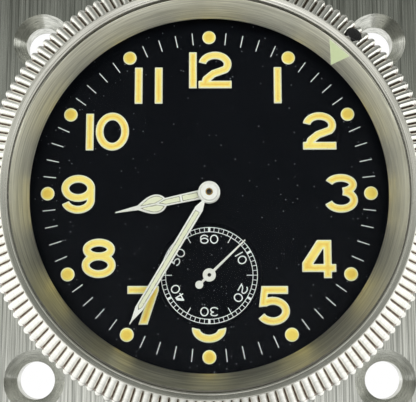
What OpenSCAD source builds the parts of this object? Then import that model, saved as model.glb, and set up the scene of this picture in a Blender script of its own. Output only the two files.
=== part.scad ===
// Rally dashboard clock: a hand-wound watch head with a turning coin-edge bezel on a square steel plate.
// The clock faces -Y with 12 o'clock up (+Z). The origin is the middle of the plate's back face.
// Modules draw in clock coordinates: x to 3 o'clock, y to 12 o'clock, z out of the dial, dial top at z = 0.

/* [Mounting plate] */
// Side of the square plate
plate_w = 60; // [57:0.5:80]
// Thickness of the plate
plate_t = 3.5; // [2.5:0.1:5]
// Corner radius of the plate
plate_corner_r = 1.5; // [0.5:0.1:4]
// Distance between neighbouring screw holes
hole_pitch = 42.5; // [41:0.1:46]
// Diameter of each screw hole
hole_d = 4.6; // [3.4:0.1:5]
// Diameter of each countersink at the face
sink_d = 7.4; // [5.4:0.1:8]
// Distance from the plate's face to the dial's top
stand_h = 10; // [9.8:0.1:13]

/* [Case] */
// Width of the ring between the movement and the case
ring_w = 2.1; // [1.9:0.05:2.4]
// Thickness of the neck's wall, inside the bezel
neck_wall = 1.2; // [1:0.05:1.4]
// Width of the shoulder round the neck
shoulder_w = 1.4; // [1.2:0.05:2]
// Height of the neck's top above the dial
neck_top = 3.0; // [2.6:0.1:3.1]
// Height of the case shoulder, below the dial
shoulder_drop = 0.8; // [0.7:0.1:1]
// Thickness of the case back
back_t = 1.6; // [1:0.1:2]
// Width of the case back's seat
back_seat_w = 0.8; // [0.75:0.05:1.2]
// Diameter of the screws that hold the head to the plate
case_screw_d = 2; // [1.6:0.1:2.2]
// Depth of those screws in the case
case_screw_reach = 3.6; // [2.5:0.1:5]

/* [Bezel] */
// Width of the smooth rim inside the flutes
rim_w = 0.95; // [0.8:0.05:1.2]
// Width of the fluted cone and edge, seen from the front
flute_w = 2.6; // [2.3:0.05:3.2]
// Height of the rim above the crystal's underside
rim_rise = 0.65; // [0.5:0.05:1.1]
// Height of the bezel's lower edge, below the dial
bezel_drop = 0.6; // [0.4:0.05:0.65]
// Number of flutes round the edge
flute_count = 152; // [120:1:180]
// Depth of a flute on the side
flute_depth = 0.42; // [0.2:0.02:0.6]
// Height of the edge between the fluted cone and the fluted side
flute_edge_z = 2.9; // [2.4:0.1:3.2]
// Diameter of the spring wire that keeps the bezel on
spring_wire_d = 0.5; // [0.4:0.02:0.52]
// Height of the spring wire above the dial
spring_z = 1.3; // [1:0.1:1.6]

/* [Dished ring] */
// Width of the dial's edge that the ring hides
dial_margin = 1.2; // [0.9:0.05:1.4]
// Height of the ring's inner edge above the dial
dish_in_z = 1.7; // [1.65:0.05:2]
// Width of the ring's slope, seen from the front
dish_w = 1.55; // [1.4:0.05:1.8]
// Width of the flat top that the crystal rests on
crystal_land = 0.1; // [0.05:0.05:0.3]
// Width of the ring's lip outside the crystal
dish_lip = 0.53; // [0.45:0.01:0.7]
// Angle of the luminous triangle, clockwise from 12
mark_angle = 43; // [0:1:359]
// Width of the triangle's base
mark_w = 3.1; // [1.5:0.1:4]

/* [Crystal] */
// Thickness of the crystal
crystal_t = 1.5; // [1.2:0.1:2]
// Height of the crystal's underside above the dial
crystal_z = 4.4; // [4.3:0.05:4.6]
// Radial thickness of the crystal gasket
crystal_gasket_w = 0.18; // [0.1:0.01:0.18]

/* [Dial] */
// Width of the case's seat under the dial
dial_seat_w = 0.9; // [0.8:0.05:1.2]
// Thickness of the dial
dial_t = 0.6; // [0.4:0.05:0.8]
// Radius of the seconds dial's recess
small_dial_r = 5.83; // [5.6:0.01:6]
// Depth of the seconds dial's recess
small_dial_sink = 0.15; // [0.05:0.01:0.25]
// Distance from the ring's inner edge to the middle of an hour dot
dot_inset = 1.78; // [1.5:0.02:2.1]
// Diameter of an hour dot
dot_d = 1.55; // [1:0.05:1.8]
// Distance from the dots' circle in to the middle of the numerals
numeral_inset = 3.82; // [3.6:0.02:4.2]
// Height of an hour numeral
numeral_h = 4.3; // [3.6:0.05:4.6]
// Width of the brush stroke of a numeral
stroke = 0.9; // [0.6:0.02:1]
// Space between the two digits of a numeral
digit_gap = 0.2; // [0.15:0.01:0.3]
// Thickness of the luminous paint
paint_t = 0.12; // [0.06:0.01:0.14]

/* [Hands] */
// Length of the hour hand from its pivot
hour_len = 10.8; // [9:0.1:11.5]
// Gap between the minute hand's point and an hour dot, seen from the front
minute_gap = 0.39; // [0.1:0.01:2]
// Length of the seconds hand from its pivot
seconds_len = 5.65; // [4:0.05:5.7]
// Hour shown, in turns of the hour hand
hour_angle = 257.9; // [0:0.1:359.9]
// Angle of the minute hand, clockwise from 12
minute_angle = 210.8; // [0:0.1:359.9]
// Angle of the seconds hand, clockwise from 12
seconds_angle = 45.7; // [0:0.1:359.9]
// Thickness of a hand
hand_t = 0.18; // [0.12:0.01:0.2]
// Height of the hour hand above the dial
hour_hand_z = 0.6; // [0.55:0.05:0.7]
// Height of the minute hand above the dial
minute_hand_z = 1.15; // [1.1:0.05:1.2]
// Height of the seconds hand above the dial
seconds_hand_z = 0.2; // [0.15:0.05:0.25]
// Width of the round boss of the hour and minute hands, outside the pipe
boss_rim = 0.24; // [0.15:0.01:0.35]
// Greatest width of the hour hand's leaf
leaf_w = 2.16; // [1.6:0.02:2.6]
// Width of the minute hand
minute_w = 0.96; // [0.7:0.02:1.2]
// Width of the metal round a hand's luminous window
hand_rail = 0.18; // [0.12:0.01:0.22]

/* [Movement] */
// Diameter of the movement
movement_d = 36.6; // [36:0.1:37]
// Thickness of the main plate
main_plate_t = 2.0; // [1.8:0.05:2.1]
// Space between the main plate and the bridges
bridge_gap = 1.55; // [1.5:0.01:1.6]
// Thickness of the bridges
bridge_t = 0.85; // [0.8:0.01:0.95]
// Diameter of a jewel
jewel_d = 1.1; // [1:0.05:1.2]
// Radius of a wheel's pivots
pivot_r = 0.14; // [0.1:0.01:0.16]
// Radius of a wheel's arbor
arbor_r = 0.32; // [0.25:0.01:0.35]
// Swing of the balance rim from its staff
balance_r = 4.4; // [4:0.05:4.4]
// Number of turns of the hairspring
hairspring_turns = 6; // [3:1:8]
// Number of turns of the mainspring
mainspring_turns = 5; // [3:1:7]

/* [Crown] */
// Diameter of the crown
crown_d = 6.8; // [5:0.1:7]
// Length of the crown
crown_len = 4.0; // [3:0.1:4.5]
// Number of ridges round the crown
crown_ridges = 30; // [20:1:40]
// Diameter of the winding stem
stem_d = 1.2; // [1:0.05:1.3]
// Outer diameter of the crown tube
tube_d = 3.0; // [2.4:0.1:3.1]
// Travel of the crown when it is pulled to set the hands
crown_travel = 1.0; // [0.5:0.1:1.2]

/* [Clearances] */
// Radial clearance of a turning fit
run_fit = 0.03; // [0.02:0.01:0.05]
// Radial gap between two pieces fastened together
seat_fit = 0.01; // [0.005:0.005:0.02]
// Gap between two pieces that pass each other
pass_gap = 0.05; // [0.03:0.01:0.08]

/* [Hidden] */
$fn = 64;
steel = [0.72, 0.72, 0.68];
dark_steel = [0.42, 0.43, 0.42];
brass = [0.80, 0.66, 0.36];
gilt = [0.78, 0.70, 0.52];
ruby = [0.72, 0.10, 0.22];
cream = [0.93, 0.80, 0.40];
pale_lume = [0.84, 0.86, 0.70];
white_paint = [0.92, 0.92, 0.88];
rubber = [0.10, 0.10, 0.10];

// Heights through the head
dial_h = plate_t + stand_h;
face_z = -stand_h;
plate_back_z = -dial_h;
seat_z = -dial_t;
back_seat_z = face_z + back_t + 0.3;
main_back_z = seat_z - main_plate_t;
bridge_z = main_back_z - bridge_gap;
bridge_back_z = bridge_z - bridge_t;
stem_z = main_back_z;
clamp_z = bridge_back_z - 0.7;

// Radii of the case and bezel, each from its neighbour outwards from the movement
movement_r = movement_d / 2;
case_bore_r = movement_r + ring_w;
back_r = case_bore_r + back_seat_w;
dial_r = case_bore_r + dial_seat_w;
dish_in_r = dial_r - dial_margin;
dish_out_r = dish_in_r + dish_w;
crystal_r = dish_out_r + crystal_land;
dish_r = crystal_r + dish_lip;
neck_in_r = dish_r + 0.12;
neck_r = neck_in_r + neck_wall;
case_r = neck_r + shoulder_w;
case_screw_r = (back_r + case_r) / 2;
bezel_seat_r = crystal_r + crystal_gasket_w + 2 * seat_fit;
flute_start_r = bezel_seat_r + rim_w;
bezel_r = flute_start_r + flute_w;
dot_ring_r = dish_in_r - dot_inset;
numeral_ring_r = dot_ring_r - numeral_inset;
rim_top = crystal_z + rim_rise;
rim_land_z = neck_top + 0.2;
flute_top_z = rim_top - 0.2;
flute_mid_r = bezel_r - 0.35;
flute_mid_z = flute_edge_z + 0.55;
wire_r = spring_wire_d / 2;
wire_path_r = neck_r - 0.1;
groove_h = spring_wire_d + 2 * pass_gap;

// The movement's layout is laid out for a diameter of 36.6, and its gap for 1.55; other sizes scale it
mk = movement_d / 36.6;
gk = bridge_gap / 1.55;

// Gearing: tooth counts, modules and the centre distances that follow
barrel_teeth = 84;
centre_leaves = 14;
barrel_mod = 0.19 * mk;
centre_teeth = 80;
third_leaves = 10;
centre_mod = 0.16 * mk;
third_teeth = 75;
fourth_leaves = 10;
third_mod = 0.14 * mk;
fourth_teeth = 80;
escape_leaves = 8;
fourth_mod = 0.12 * mk;
cannon_leaves = 12;
minute_teeth = 36;
cannon_mod = 0.125 * mk;
minute_leaves = 10;
hour_teeth = 40;
hour_mod = 0.12 * mk;
setting_teeth = 32;
ratchet_teeth = 54;
crown_teeth = 24;
ratchet_mod = 0.30 * mk;
escape_count = 15;
winding_teeth = 12;
barrel_dist = barrel_mod * (barrel_teeth + centre_leaves) / 2;
third_dist = centre_mod * (centre_teeth + third_leaves) / 2;
fourth_dist = third_mod * (third_teeth + fourth_leaves) / 2;
escape_dist = fourth_mod * (fourth_teeth + escape_leaves) / 2;
minute_dist = cannon_mod * (cannon_leaves + minute_teeth) / 2;
setting_dist = cannon_mod * (minute_teeth + setting_teeth) / 2;
ratchet_dist = ratchet_mod * (ratchet_teeth + crown_teeth) / 2;

// Places of the arbors on the movement
barrel_angle = 70;
barrel_pos = polar(barrel_dist, barrel_angle);
seconds_offset = 9.25 * mk;
fourth_pos = [0, -seconds_offset];
third_y = -(third_dist * third_dist - fourth_dist * fourth_dist + seconds_offset * seconds_offset)
    / (2 * seconds_offset);
third_pos = [-sqrt(third_dist * third_dist - third_y * third_y), third_y];
escape_angle = -45;
escape_pos = fourth_pos + polar(escape_dist, escape_angle);
balance_pos = polar(13.2 * mk, -45);
lever_len = 3.1 * mk;
lever_dir = (balance_pos - escape_pos) / norm(balance_pos - escape_pos);
fork_pos = escape_pos + lever_len * lever_dir;
lever_angle = atan2(lever_dir[1], lever_dir[0]);
minute_pos = [minute_dist, 0];
setting_pos = [minute_dist + setting_dist, 0];
crown_wheel_pos = [
    barrel_pos[0] + sqrt(ratchet_dist * ratchet_dist - barrel_pos[1] * barrel_pos[1]),
    0
];
click_angle = 152;
click_pos = barrel_pos + polar(ratchet_mod * ratchet_teeth / 2 + 1.55 * mk, click_angle);
cock_foot = polar(17.2 * mk, -65);
BARREL_SCREWS = mk * [[13.9, 9.9], [-15.2, 5.6], [15.6, -3.4]];
TRAIN_SCREWS = mk * [[-15.9, -5.2], [-1.6, -16.6]];

// Heights of the wheels: each pair is [underside, thickness]
drum_z = [main_back_z - 1.1 * gk, 1.0 * gk];
centre_wheel_z = [bridge_z + 0.15 * gk, 0.25 * gk];
third_wheel_z = [main_back_z - 0.5 * gk, 0.25 * gk];
fourth_wheel_z = [main_back_z - 0.9 * gk, 0.2 * gk];
escape_wheel_z = [main_back_z - 0.55 * gk, 0.2 * gk];
fork_z = [main_back_z - 0.62 * gk, 0.2 * gk];
balance_z = [bridge_z - 0.15 * gk, 0.5 * gk];
top_wheel_z = [bridge_back_z, 0.35];
motion_floor_z = seat_z - 1.1;
cannon_z = [motion_floor_z + 0.1, 0.45];
minute_wheel_z = [motion_floor_z + 0.2, 0.2];
hour_wheel_z = [motion_floor_z + 0.68, 0.2];
fork_swing = 5;

// Crown and keyless works, along the stem
crown_x = bezel_r + 0.4;
tube_in_x = case_bore_r + 0.3;
tube_out_x = crown_x + crown_travel + 0.2;
contrate_r = ratchet_mod * crown_teeth / 2 - 0.5 * mk;
winding_x = crown_wheel_pos[0] + contrate_r - 0.45 * mk;
winding_len = 0.9 * mk;
sliding_len = 3.0 * mk;
sliding_x = winding_x - 0.3 * mk - sliding_len;
sliding_travel = 0.8 * crown_travel;
stem_in_x = sliding_x - 0.6 * mk;
winding_r = stem_z - top_wheel_z[0] - top_wheel_z[1] - 0.2;
sliding_r = stem_d;
tube_bore_r = stem_d / 2 + 0.1 + run_fit;

// Pipes and studs of the motion work
cannon_pipe_r = 0.62 * mk;
hour_pipe_r = 1.0 * mk;
centre_arbor_r = 0.38 * mk;
seconds_pin_r = 0.2 * mk;
minute_stud_r = 0.3 * mk;
setting_stud_r = 0.4 * mk;

// Hands: lengths, the boss, and sizes along the hour hand
boss_t = 0.45;
boss_r = hour_pipe_r + boss_rim;
minute_len = dot_ring_r - dot_d / 2 - minute_gap;
hour_stem_w = 1.0;
hour_bar_y = 0.3 * hour_len;
leaf_start_y = 0.44 * hour_len;
leaf_wide_y = 0.57 * hour_len;
leaf_end_y = 0.81 * hour_len;

// Half the height and width of a round numeral, and the radii of its stroke's middle
nh = numeral_h / 2;
nw = 0.89 * nh;
cx = nw - stroke / 2;
cy = nh + 0.075 - stroke / 2;

// Places in the row's frame from clock coordinates
module clock() {
    rotate([90, 0, 0]) translate([0, 0, dial_h]) children();
}

// Turned clockwise from 12, as a hand is, with its length along +y
module from_twelve(angle) {
    rotate(-angle) children();
}

module disc(r, z, t) {
    translate([0, 0, z]) cylinder(r = r, h = t);
}

module tube(r_out, r_in, z, t) {
    translate([0, 0, z]) difference() {
        cylinder(r = r_out, h = t);
        translate([0, 0, -1]) cylinder(r = r_in, h = t + 2);
    }
}

module round_square(w, r) {
    square([w, w - 2 * r], center = true);
    square([w - 2 * r, w], center = true);
    for (x = [-1, 1]) for (y = [-1, 1])
        translate([x, y] * (w / 2 - r)) circle(r = r);
}

module sector(r_in, r_out, a0, a1) {
    // A ring sector whose corners lie on the two radii; the arc comes from the circles
    difference() {
        intersection() {
            circle(r = r_out);
            polygon(concat([[0, 0]], [for (k = [0 : 4]) 1.6 * r_out * dir(a0 + (a1 - a0) * k / 4)]));
        }
        circle(r = r_in);
    }
}

function dir(a) = [cos(a), sin(a)];
function polar(r, a) = r * [cos(a), sin(a)];

// Toothed outline: widths are shares of the pitch, heights are shares of the module
function tooth_points(n, m, add, ded, root, flank, tip) = [
    for (i = [0 : n - 1]) each [
        polar(m * (n / 2 - ded), (i - root) * 360 / n),
        polar(m * n / 2, (i - flank) * 360 / n),
        polar(m * (n / 2 + add), (i - tip) * 360 / n),
        polar(m * (n / 2 + add), (i + tip) * 360 / n),
        polar(m * n / 2, (i + flank) * 360 / n),
        polar(m * (n / 2 - ded), (i + root) * 360 / n)
    ]
];

module wheel_outline(n, m) {
    polygon(tooth_points(n, m, 1.0, 1.3, 0.26, 0.225, 0.08));
}

module pinion_outline(n, m) {
    polygon(tooth_points(n, m, 0.8, 1.5, 0.18, 0.17, 0.09));
}

// A spoked wheel: toothed rim, hub and arms
module spoked_wheel(n, m, z, rim, hub_r, arms) {
    rim_in = m * (n / 2 - 1.3) - rim;
    translate([0, 0, z[0]]) linear_extrude(z[1]) {
        difference() {
            wheel_outline(n, m);
            circle(r = rim_in);
        }
        circle(r = hub_r);
        for (k = [0 : arms - 1]) rotate(360 / arms * k)
            translate([0, -0.22]) square([rim_in + 0.1, 0.44]);
    }
}

module pinion(n, m, z0, z1) {
    translate([0, 0, z0]) linear_extrude(z1 - z0) pinion_outline(n, m);
}

// An arbor with a pivot at each end, from the dial side down to the bridge side
module arbor(r, top_z, bottom_z, pivot_top_z, pivot_bottom_z) {
    disc(r, bottom_z, top_z - bottom_z);
    disc(pivot_r, pivot_bottom_z, pivot_top_z - pivot_bottom_z);
}

// Mounting plate with its countersunk holes and the screw holes of the head
module mounting_plate() {
    sink_h = (sink_d - hole_d) / 2;
    color(steel) clock() difference() {
        translate([0, 0, plate_back_z]) linear_extrude(plate_t) round_square(plate_w, plate_corner_r);
        for (x = [-1, 1]) for (y = [-1, 1]) translate([x * hole_pitch / 2, y * hole_pitch / 2, 0]) {
            disc(hole_d / 2, plate_back_z - 1, plate_t + 2);
            translate([0, 0, face_z - sink_h]) cylinder(r1 = hole_d / 2, r2 = sink_d / 2 + 0.1, h = sink_h + 0.1);
        }
        case_screw_places() {
            disc(case_screw_d / 2 + 0.1, plate_back_z - 1, plate_t + 2);
            translate([0, 0, plate_back_z - 0.01])
                cylinder(r1 = case_screw_d + 0.11, r2 = case_screw_d / 2 + 0.1, h = case_screw_d / 2 + 0.02);
        }
    }
}

module case_screw_places() {
    for (k = [0 : 3]) rotate(45 + 90 * k) translate([case_screw_r, 0, 0]) children();
}

// Turned case with a dial seat, a neck for the bezel, and a recess for the back
module case_body() {
    color(steel) clock() difference() {
        rotate_extrude() polygon([
            [case_bore_r, back_seat_z], [case_bore_r, clamp_z - 0.5], [case_bore_r + 0.6, clamp_z - 0.5],
            [case_bore_r + 0.6, clamp_z], [case_bore_r, clamp_z], [case_bore_r, seat_z],
            [dial_r + 0.1, seat_z], [dial_r + 0.1, 0.3], [neck_in_r, 0.3],
            [neck_in_r, neck_top], [neck_r - 0.15, neck_top], [neck_r, neck_top - 0.15],
            [neck_r, spring_z + groove_h / 2], [neck_r - 0.5, spring_z + groove_h / 2],
            [neck_r - 0.5, spring_z - groove_h / 2], [neck_r, spring_z - groove_h / 2],
            [neck_r, -shoulder_drop], [case_r - 0.3, -shoulder_drop], [case_r, -shoulder_drop - 0.3],
            [case_r, face_z + 0.3], [case_r - 0.3, face_z], [back_r + seat_fit, face_z],
            [back_r + seat_fit, back_seat_z]
        ]);
        translate([0, 0, stem_z]) rotate([0, 90, 0]) cylinder(r = tube_d / 2 + seat_fit, h = case_r + 5);
        case_screw_places() disc(case_screw_d / 2 + seat_fit, face_z - 1, case_screw_reach + 1.4);
    }
}

// Press-fit back with a seat for its gasket
module case_back() {
    color(steel) clock() difference() {
        disc(back_r, back_seat_z - back_t, back_t);
        tube(case_bore_r + 0.72, case_bore_r + 0.08, back_seat_z - 0.45, 1);
    }
}

module case_back_gasket() {
    color(rubber) clock() tube(case_bore_r + 0.70, case_bore_r + 0.10, back_seat_z - 0.44, 0.43);
}

// Countersunk screws from the plate's back into the case
module case_screws() {
    color(dark_steel) clock() case_screw_places() difference() {
        union() {
            disc(case_screw_d / 2, plate_back_z + 0.1, plate_t + case_screw_reach - 0.1);
            translate([0, 0, plate_back_z + 0.1])
                cylinder(r1 = case_screw_d, r2 = case_screw_d / 2, h = case_screw_d / 2);
        }
        translate([-case_screw_d, -0.2, plate_back_z]) cube([2 * case_screw_d, 0.4, 0.5]);
    }
}

// Open wire ring that sits in the neck's groove and keeps the bezel down
module bezel_spring_ring() {
    color(steel) clock() translate([0, 0, spring_z])
        rotate_extrude(angle = 345) translate([wire_path_r, 0]) circle(r = wire_r, $fn = 24);
}

// Outline of the coin edge: rounded lobes with narrow valleys, on radius r at their crests
module coin_edge_outline(r) {
    step = 360 / flute_count;
    polygon([
        for (i = [0 : flute_count - 1]) each [
            polar(r - flute_depth, (i - 0.5) * step),
            polar(r - 0.28 * flute_depth, (i - 0.3) * step),
            polar(r, i * step),
            polar(r - 0.28 * flute_depth, (i + 0.3) * step)
        ]
    ]);
}

// Fluted side and cone, the cone running up to the smooth rim
module coin_edge() {
    top_r = flute_start_r + 0.05;
    translate([0, 0, -bezel_drop + 0.2]) linear_extrude(flute_edge_z + bezel_drop - 0.2) coin_edge_outline(bezel_r);
    translate([0, 0, flute_edge_z])
        linear_extrude(flute_mid_z - flute_edge_z, scale = flute_mid_r / bezel_r) coin_edge_outline(bezel_r);
    translate([0, 0, flute_mid_z]) scale(flute_mid_r / bezel_r)
        linear_extrude((flute_top_z - flute_mid_z) * bezel_r / flute_mid_r, scale = top_r / flute_mid_r)
            coin_edge_outline(bezel_r);
}

module mark_hole(r, depth) {
    cone_tilt = atan2(flute_top_z - flute_mid_z, flute_mid_r - flute_start_r);
    mark_r = (flute_start_r + flute_mid_r) / 2;
    from_twelve(mark_angle) translate([0, mark_r, (flute_top_z + flute_mid_z) / 2])
        rotate([-cone_tilt, 0, 0]) translate([0, 0, -depth]) cylinder(r = r, h = depth + 1);
}

// Turning bezel: a turned core inside the coin edge
module bezel() {
    bore_r = neck_r + pass_gap;
    color(steel) clock() difference() {
        union() {
            coin_edge();
            disc(bezel_r - flute_depth - 0.1, -bezel_drop, 1);
            translate([0, 0, -bezel_drop]) rotate_extrude() polygon([
                [bore_r, 0], [bezel_r - flute_depth - 0.3, 0], [bezel_r - flute_depth - 0.3, 2],
                [flute_start_r, 2], [flute_start_r, flute_top_z + bezel_drop],
                [flute_start_r - 0.2, rim_top + bezel_drop], [bezel_seat_r + 0.1, rim_top + bezel_drop],
                [bezel_seat_r, rim_top + bezel_drop - 0.1], [bezel_seat_r, crystal_z + bezel_drop],
                [dish_r, crystal_z + bezel_drop], [dish_r, rim_land_z + bezel_drop],
                [bore_r, rim_land_z + bezel_drop]
            ]);
        }
        disc(bore_r, -bezel_drop - 1, rim_land_z + bezel_drop + 1);
        disc(dish_r + seat_fit, 0, crystal_z);
        disc(bezel_seat_r, crystal_z - 0.01, 2);
        tube(neck_r + 0.4, neck_r - 1, spring_z - groove_h / 2, groove_h);
        mark_hole(0.62, 0.5);
    }
}

// Dished ring seen through the crystal
module bezel_inner_ring() {
    color(steel) clock() rotate_extrude() polygon([
        [dish_in_r, dish_in_z], [dish_out_r, crystal_z], [dish_r, crystal_z],
        [dish_r, dish_in_z - 0.4], [dish_in_r + 0.3, dish_in_z - 0.4], [dish_in_r, dish_in_z - 0.15]
    ]);
}

// Thin luminous triangle laid on the dished ring, its point to the dial
module ring_triangle() {
    skin = 0.06;
    gap = 0.005;
    color([0.75, 0.85, 0.60]) clock() intersection() {
        rotate_extrude() polygon([
            [dish_in_r - skin, dish_in_z], [dish_out_r - skin, crystal_z - gap],
            [dish_out_r - gap, crystal_z - gap], [dish_in_r - gap, dish_in_z]
        ]);
        from_twelve(mark_angle) linear_extrude(crystal_z) polygon([
            [-mark_w / 2, dish_out_r - 0.05], [mark_w / 2, dish_out_r - 0.05], [0, dish_in_r]
        ]);
    }
}

// Black-filled pit in the flutes on the triangle's radius
module index_pip() {
    color(rubber) clock() intersection() {
        mark_hole(0.6, 0.48);
        disc(bezel_r, 0, (flute_top_z + flute_mid_z) / 2);
    }
}

module crystal() {
    bevel = 0.3;
    color([0.8, 0.9, 0.95, 0.3]) clock() rotate_extrude() polygon([
        [0, crystal_z], [crystal_r, crystal_z], [crystal_r, crystal_z + crystal_t - bevel],
        [crystal_r - bevel, crystal_z + crystal_t], [0, crystal_z + crystal_t]
    ]);
}

module crystal_gasket() {
    color(rubber) clock()
        tube(crystal_r + crystal_gasket_w + seat_fit, crystal_r + seat_fit, crystal_z + 0.01, rim_top - crystal_z);
}

// Dial with the seconds recess and two soldered feet
module dial() {
    color([0.06, 0.06, 0.06]) clock() difference() {
        disc(dial_r, seat_z, dial_t);
        disc(hour_pipe_r + 0.25, seat_z - 1, 3);
        translate(fourth_pos) disc(small_dial_r, -small_dial_sink, 1);
        translate(fourth_pos) disc(seconds_pin_r + 0.2, seat_z - 1, 3);
    }
}

// Points of an elliptical arc, angles anticlockwise from 3 o'clock
function arc(c, r, a0, a1, n = 12) = [
    for (k = [0 : n]) c + [r[0] * cos(a0 + (a1 - a0) * k / n), r[1] * sin(a0 + (a1 - a0) * k / n)]
];

function unit(v) = v / norm(v);
function left_of(v) = [-v[1], v[0]];

// Sideways direction at point k of a path, drawn out at a bend so that the stroke keeps its width
function side_at(p, k) =
    let (
        n = len(p),
        into = unit(p[max(k, 1)] - p[max(k, 1) - 1]),
        out = unit(p[min(k, n - 2) + 1] - p[min(k, n - 2)]),
        mid = unit(left_of(into) + left_of(out))
    )
    mid / max(0.5, mid * left_of(into));

// Brush stroke of even width along an open path
module brush(p, w = stroke) {
    n = len(p);
    polygon(concat(
        [for (k = [0 : n - 1]) p[k] + side_at(p, k) * w / 2],
        [for (k = [n - 1 : -1 : 0]) p[k] - side_at(p, k) * w / 2]
    ));
}

// A closed ring of even stroke, such as a nought
module brush_ring(c, r) {
    difference() {
        polygon(arc(c, r + [stroke, stroke] / 2, 0, 345, 23));
        polygon(arc(c, r - [stroke, stroke] / 2, 0, 345, 23));
    }
}

// Plain numerals, each centred on the middle of its own height
module numeral_0() {
    brush_ring([0, 0], [cx, cy]);
}
module numeral_1() {
    square([stroke, numeral_h], center = true);
}
module numeral_2() {
    bowl = 0.60 * cy;
    difference() {
        union() {
            brush(concat(
                arc([0, cy - bowl], [cx, bowl], 174, -36, 16),
                [[-0.1 * nw, -0.19 * nh], [-0.53 * nw, -0.5 * nh], [-cx - 0.02, -1.2 * nh]]
            ));
            translate([-nw, -nh]) square([2 * nw, stroke]);
        }
        translate([-2 * nw, -2 * nh]) square([4 * nw, nh]);
        translate([-2 * nw, -2 * nh]) square([nw, 2 * nh]);
    }
}
module numeral_3() {
    lower = 0.56 * cy;
    upper = cy - lower;
    brush(arc([0, lower - cy], [cx, lower], -165, 82, 14));
    brush(arc([0, cy - upper], [0.94 * cx, upper], 165, -82, 14));
}
module numeral_4() {
    stem = 0.5 * nw;
    bar = -0.26 * nh;
    difference() {
        polygon([
            [-nw, bar - stroke], [-nw, bar + 0.12], [-0.22, nh], [stem + stroke / 2, nh],
            [stem + stroke / 2, bar], [nw, bar], [nw, bar - stroke], [stem + stroke / 2, bar - stroke],
            [stem + stroke / 2, -nh], [stem - stroke / 2, -nh], [stem - stroke / 2, bar - stroke]
        ]);
        polygon([
            [stem - stroke / 2, 0.57 * nh], [stem - stroke / 2, bar], [-0.35 * nw, bar]
        ]);
    }
}
module numeral_5() {
    bowl = 0.64 * cy;
    brush(arc([0, bowl - cy], [cx, bowl], -152, 132, 18));
    polygon([
        [-0.66 * nw, nh], [0.9 * nw, nh], [0.9 * nw, nh - stroke], [-0.29 * nw, nh - stroke],
        [-0.36 * nw, -0.06 * nh], [-0.81 * nw, -0.1 * nh]
    ]);
}
module numeral_6() {
    rotate(180) numeral_9();
}
module numeral_7() {
    top = 0.92 * nw;
    polygon([
        [-top, nh], [top, nh], [top, 0.77 * nh], [0.28 * nw, -nh], [-0.26 * nw, -nh],
        [0.33 * nw, nh - stroke], [-top, nh - stroke]
    ]);
}
module numeral_8() {
    lower = 0.56 * cy;
    brush_ring([0, lower - cy], [cx, lower]);
    brush_ring([0, lower], [0.93 * cx, cy - lower]);
}
module numeral_9() {
    bowl = 0.62 * cy;
    brush_ring([0, cy - bowl], [cx, bowl]);
    brush(concat([[cx, cy - bowl + 0.05]], arc([0, bowl - cy], [cx, bowl], 4, -165, 14)));
}

// Where a numeral sits: shares of the numerals' circle to the right and up
module at_hour(x, y) {
    translate([x, y] * numeral_ring_r) linear_extrude(paint_t) children();
}

// Two digits side by side, their middles step apart
module two_digits(step) {
    translate([-step / 2, 0]) children(0);
    translate([step / 2, 0]) children(1);
}

module hour_numerals() {
    mixed_step = nw + stroke / 2 + digit_gap;
    color(cream) clock() {
        at_hour(-0.041, 0.994) two_digits(mixed_step) {
            numeral_1();
            numeral_2();
        }
        at_hour(0.545, 0.871) numeral_1();
        at_hour(0.870, 0.497) numeral_2();
        at_hour(1.030, 0) numeral_3();
        at_hour(0.850, -0.514) numeral_4();
        at_hour(0.488, -0.870) numeral_5();
        difference() {
            at_hour(-0.002, -1.002) numeral_6();
            translate(fourth_pos) disc(small_dial_r + 0.27, -1, 3);
        }
        at_hour(-0.510, -0.869) numeral_7();
        at_hour(-0.856, -0.507) numeral_8();
        at_hour(-1.026, -0.004) numeral_9();
        at_hour(-0.853, 0.495) two_digits(mixed_step) {
            numeral_1();
            numeral_0();
        }
        at_hour(-0.480, 0.869) two_digits(1.2 * nw) {
            numeral_1();
            numeral_1();
        }
    }
}

module hour_dots() {
    color(cream) clock() for (k = [0 : 11]) from_twelve(30 * k)
        translate([0, dot_ring_r, 0]) cylinder(r = dot_d / 2, h = paint_t + 0.03);
}

// Half-width of the leaf at distance y from the pivot, 1 at its widest place, full behind it and slender before
function leaf_half(y) =
    y < leaf_wide_y ? pow(cos(90 * (leaf_wide_y - y) / (leaf_wide_y - leaf_start_y)), 0.42)
    : pow(cos(90 * (y - leaf_wide_y) / (leaf_end_y - leaf_wide_y)), 1.25);

// The hour hand's leaf, drawn in from its edge on all sides by inset
module leaf(inset) {
    n = 24;
    y0 = leaf_start_y + inset;
    y1 = leaf_end_y - 1.5 * inset;
    k = (leaf_end_y - leaf_start_y) / (y1 - y0);
    points = [
        for (i = [0 : n])
            let (y = y0 + (y1 - y0) * (1 - cos(180 * i / n)) / 2)
            [(leaf_w / 2 - inset) * leaf_half(leaf_start_y + k * (y - y0)), y]
    ];
    polygon(concat(points, [for (i = [n - 1 : -1 : 1]) [-points[i][0], points[i][1]]]));
}

module hour_outline() {
    root = hour_stem_w / 2 + 0.04;
    neck = hour_stem_w / 2 - 0.05;
    polygon([
        [-root, 0.9], [root, 0.9], [neck, leaf_start_y + 0.4], [0.2, leaf_end_y - 0.4], [0.06, hour_len],
        [-0.06, hour_len], [-0.2, leaf_end_y - 0.4], [-neck, leaf_start_y + 0.4]
    ]);
    leaf(0);
}

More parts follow.
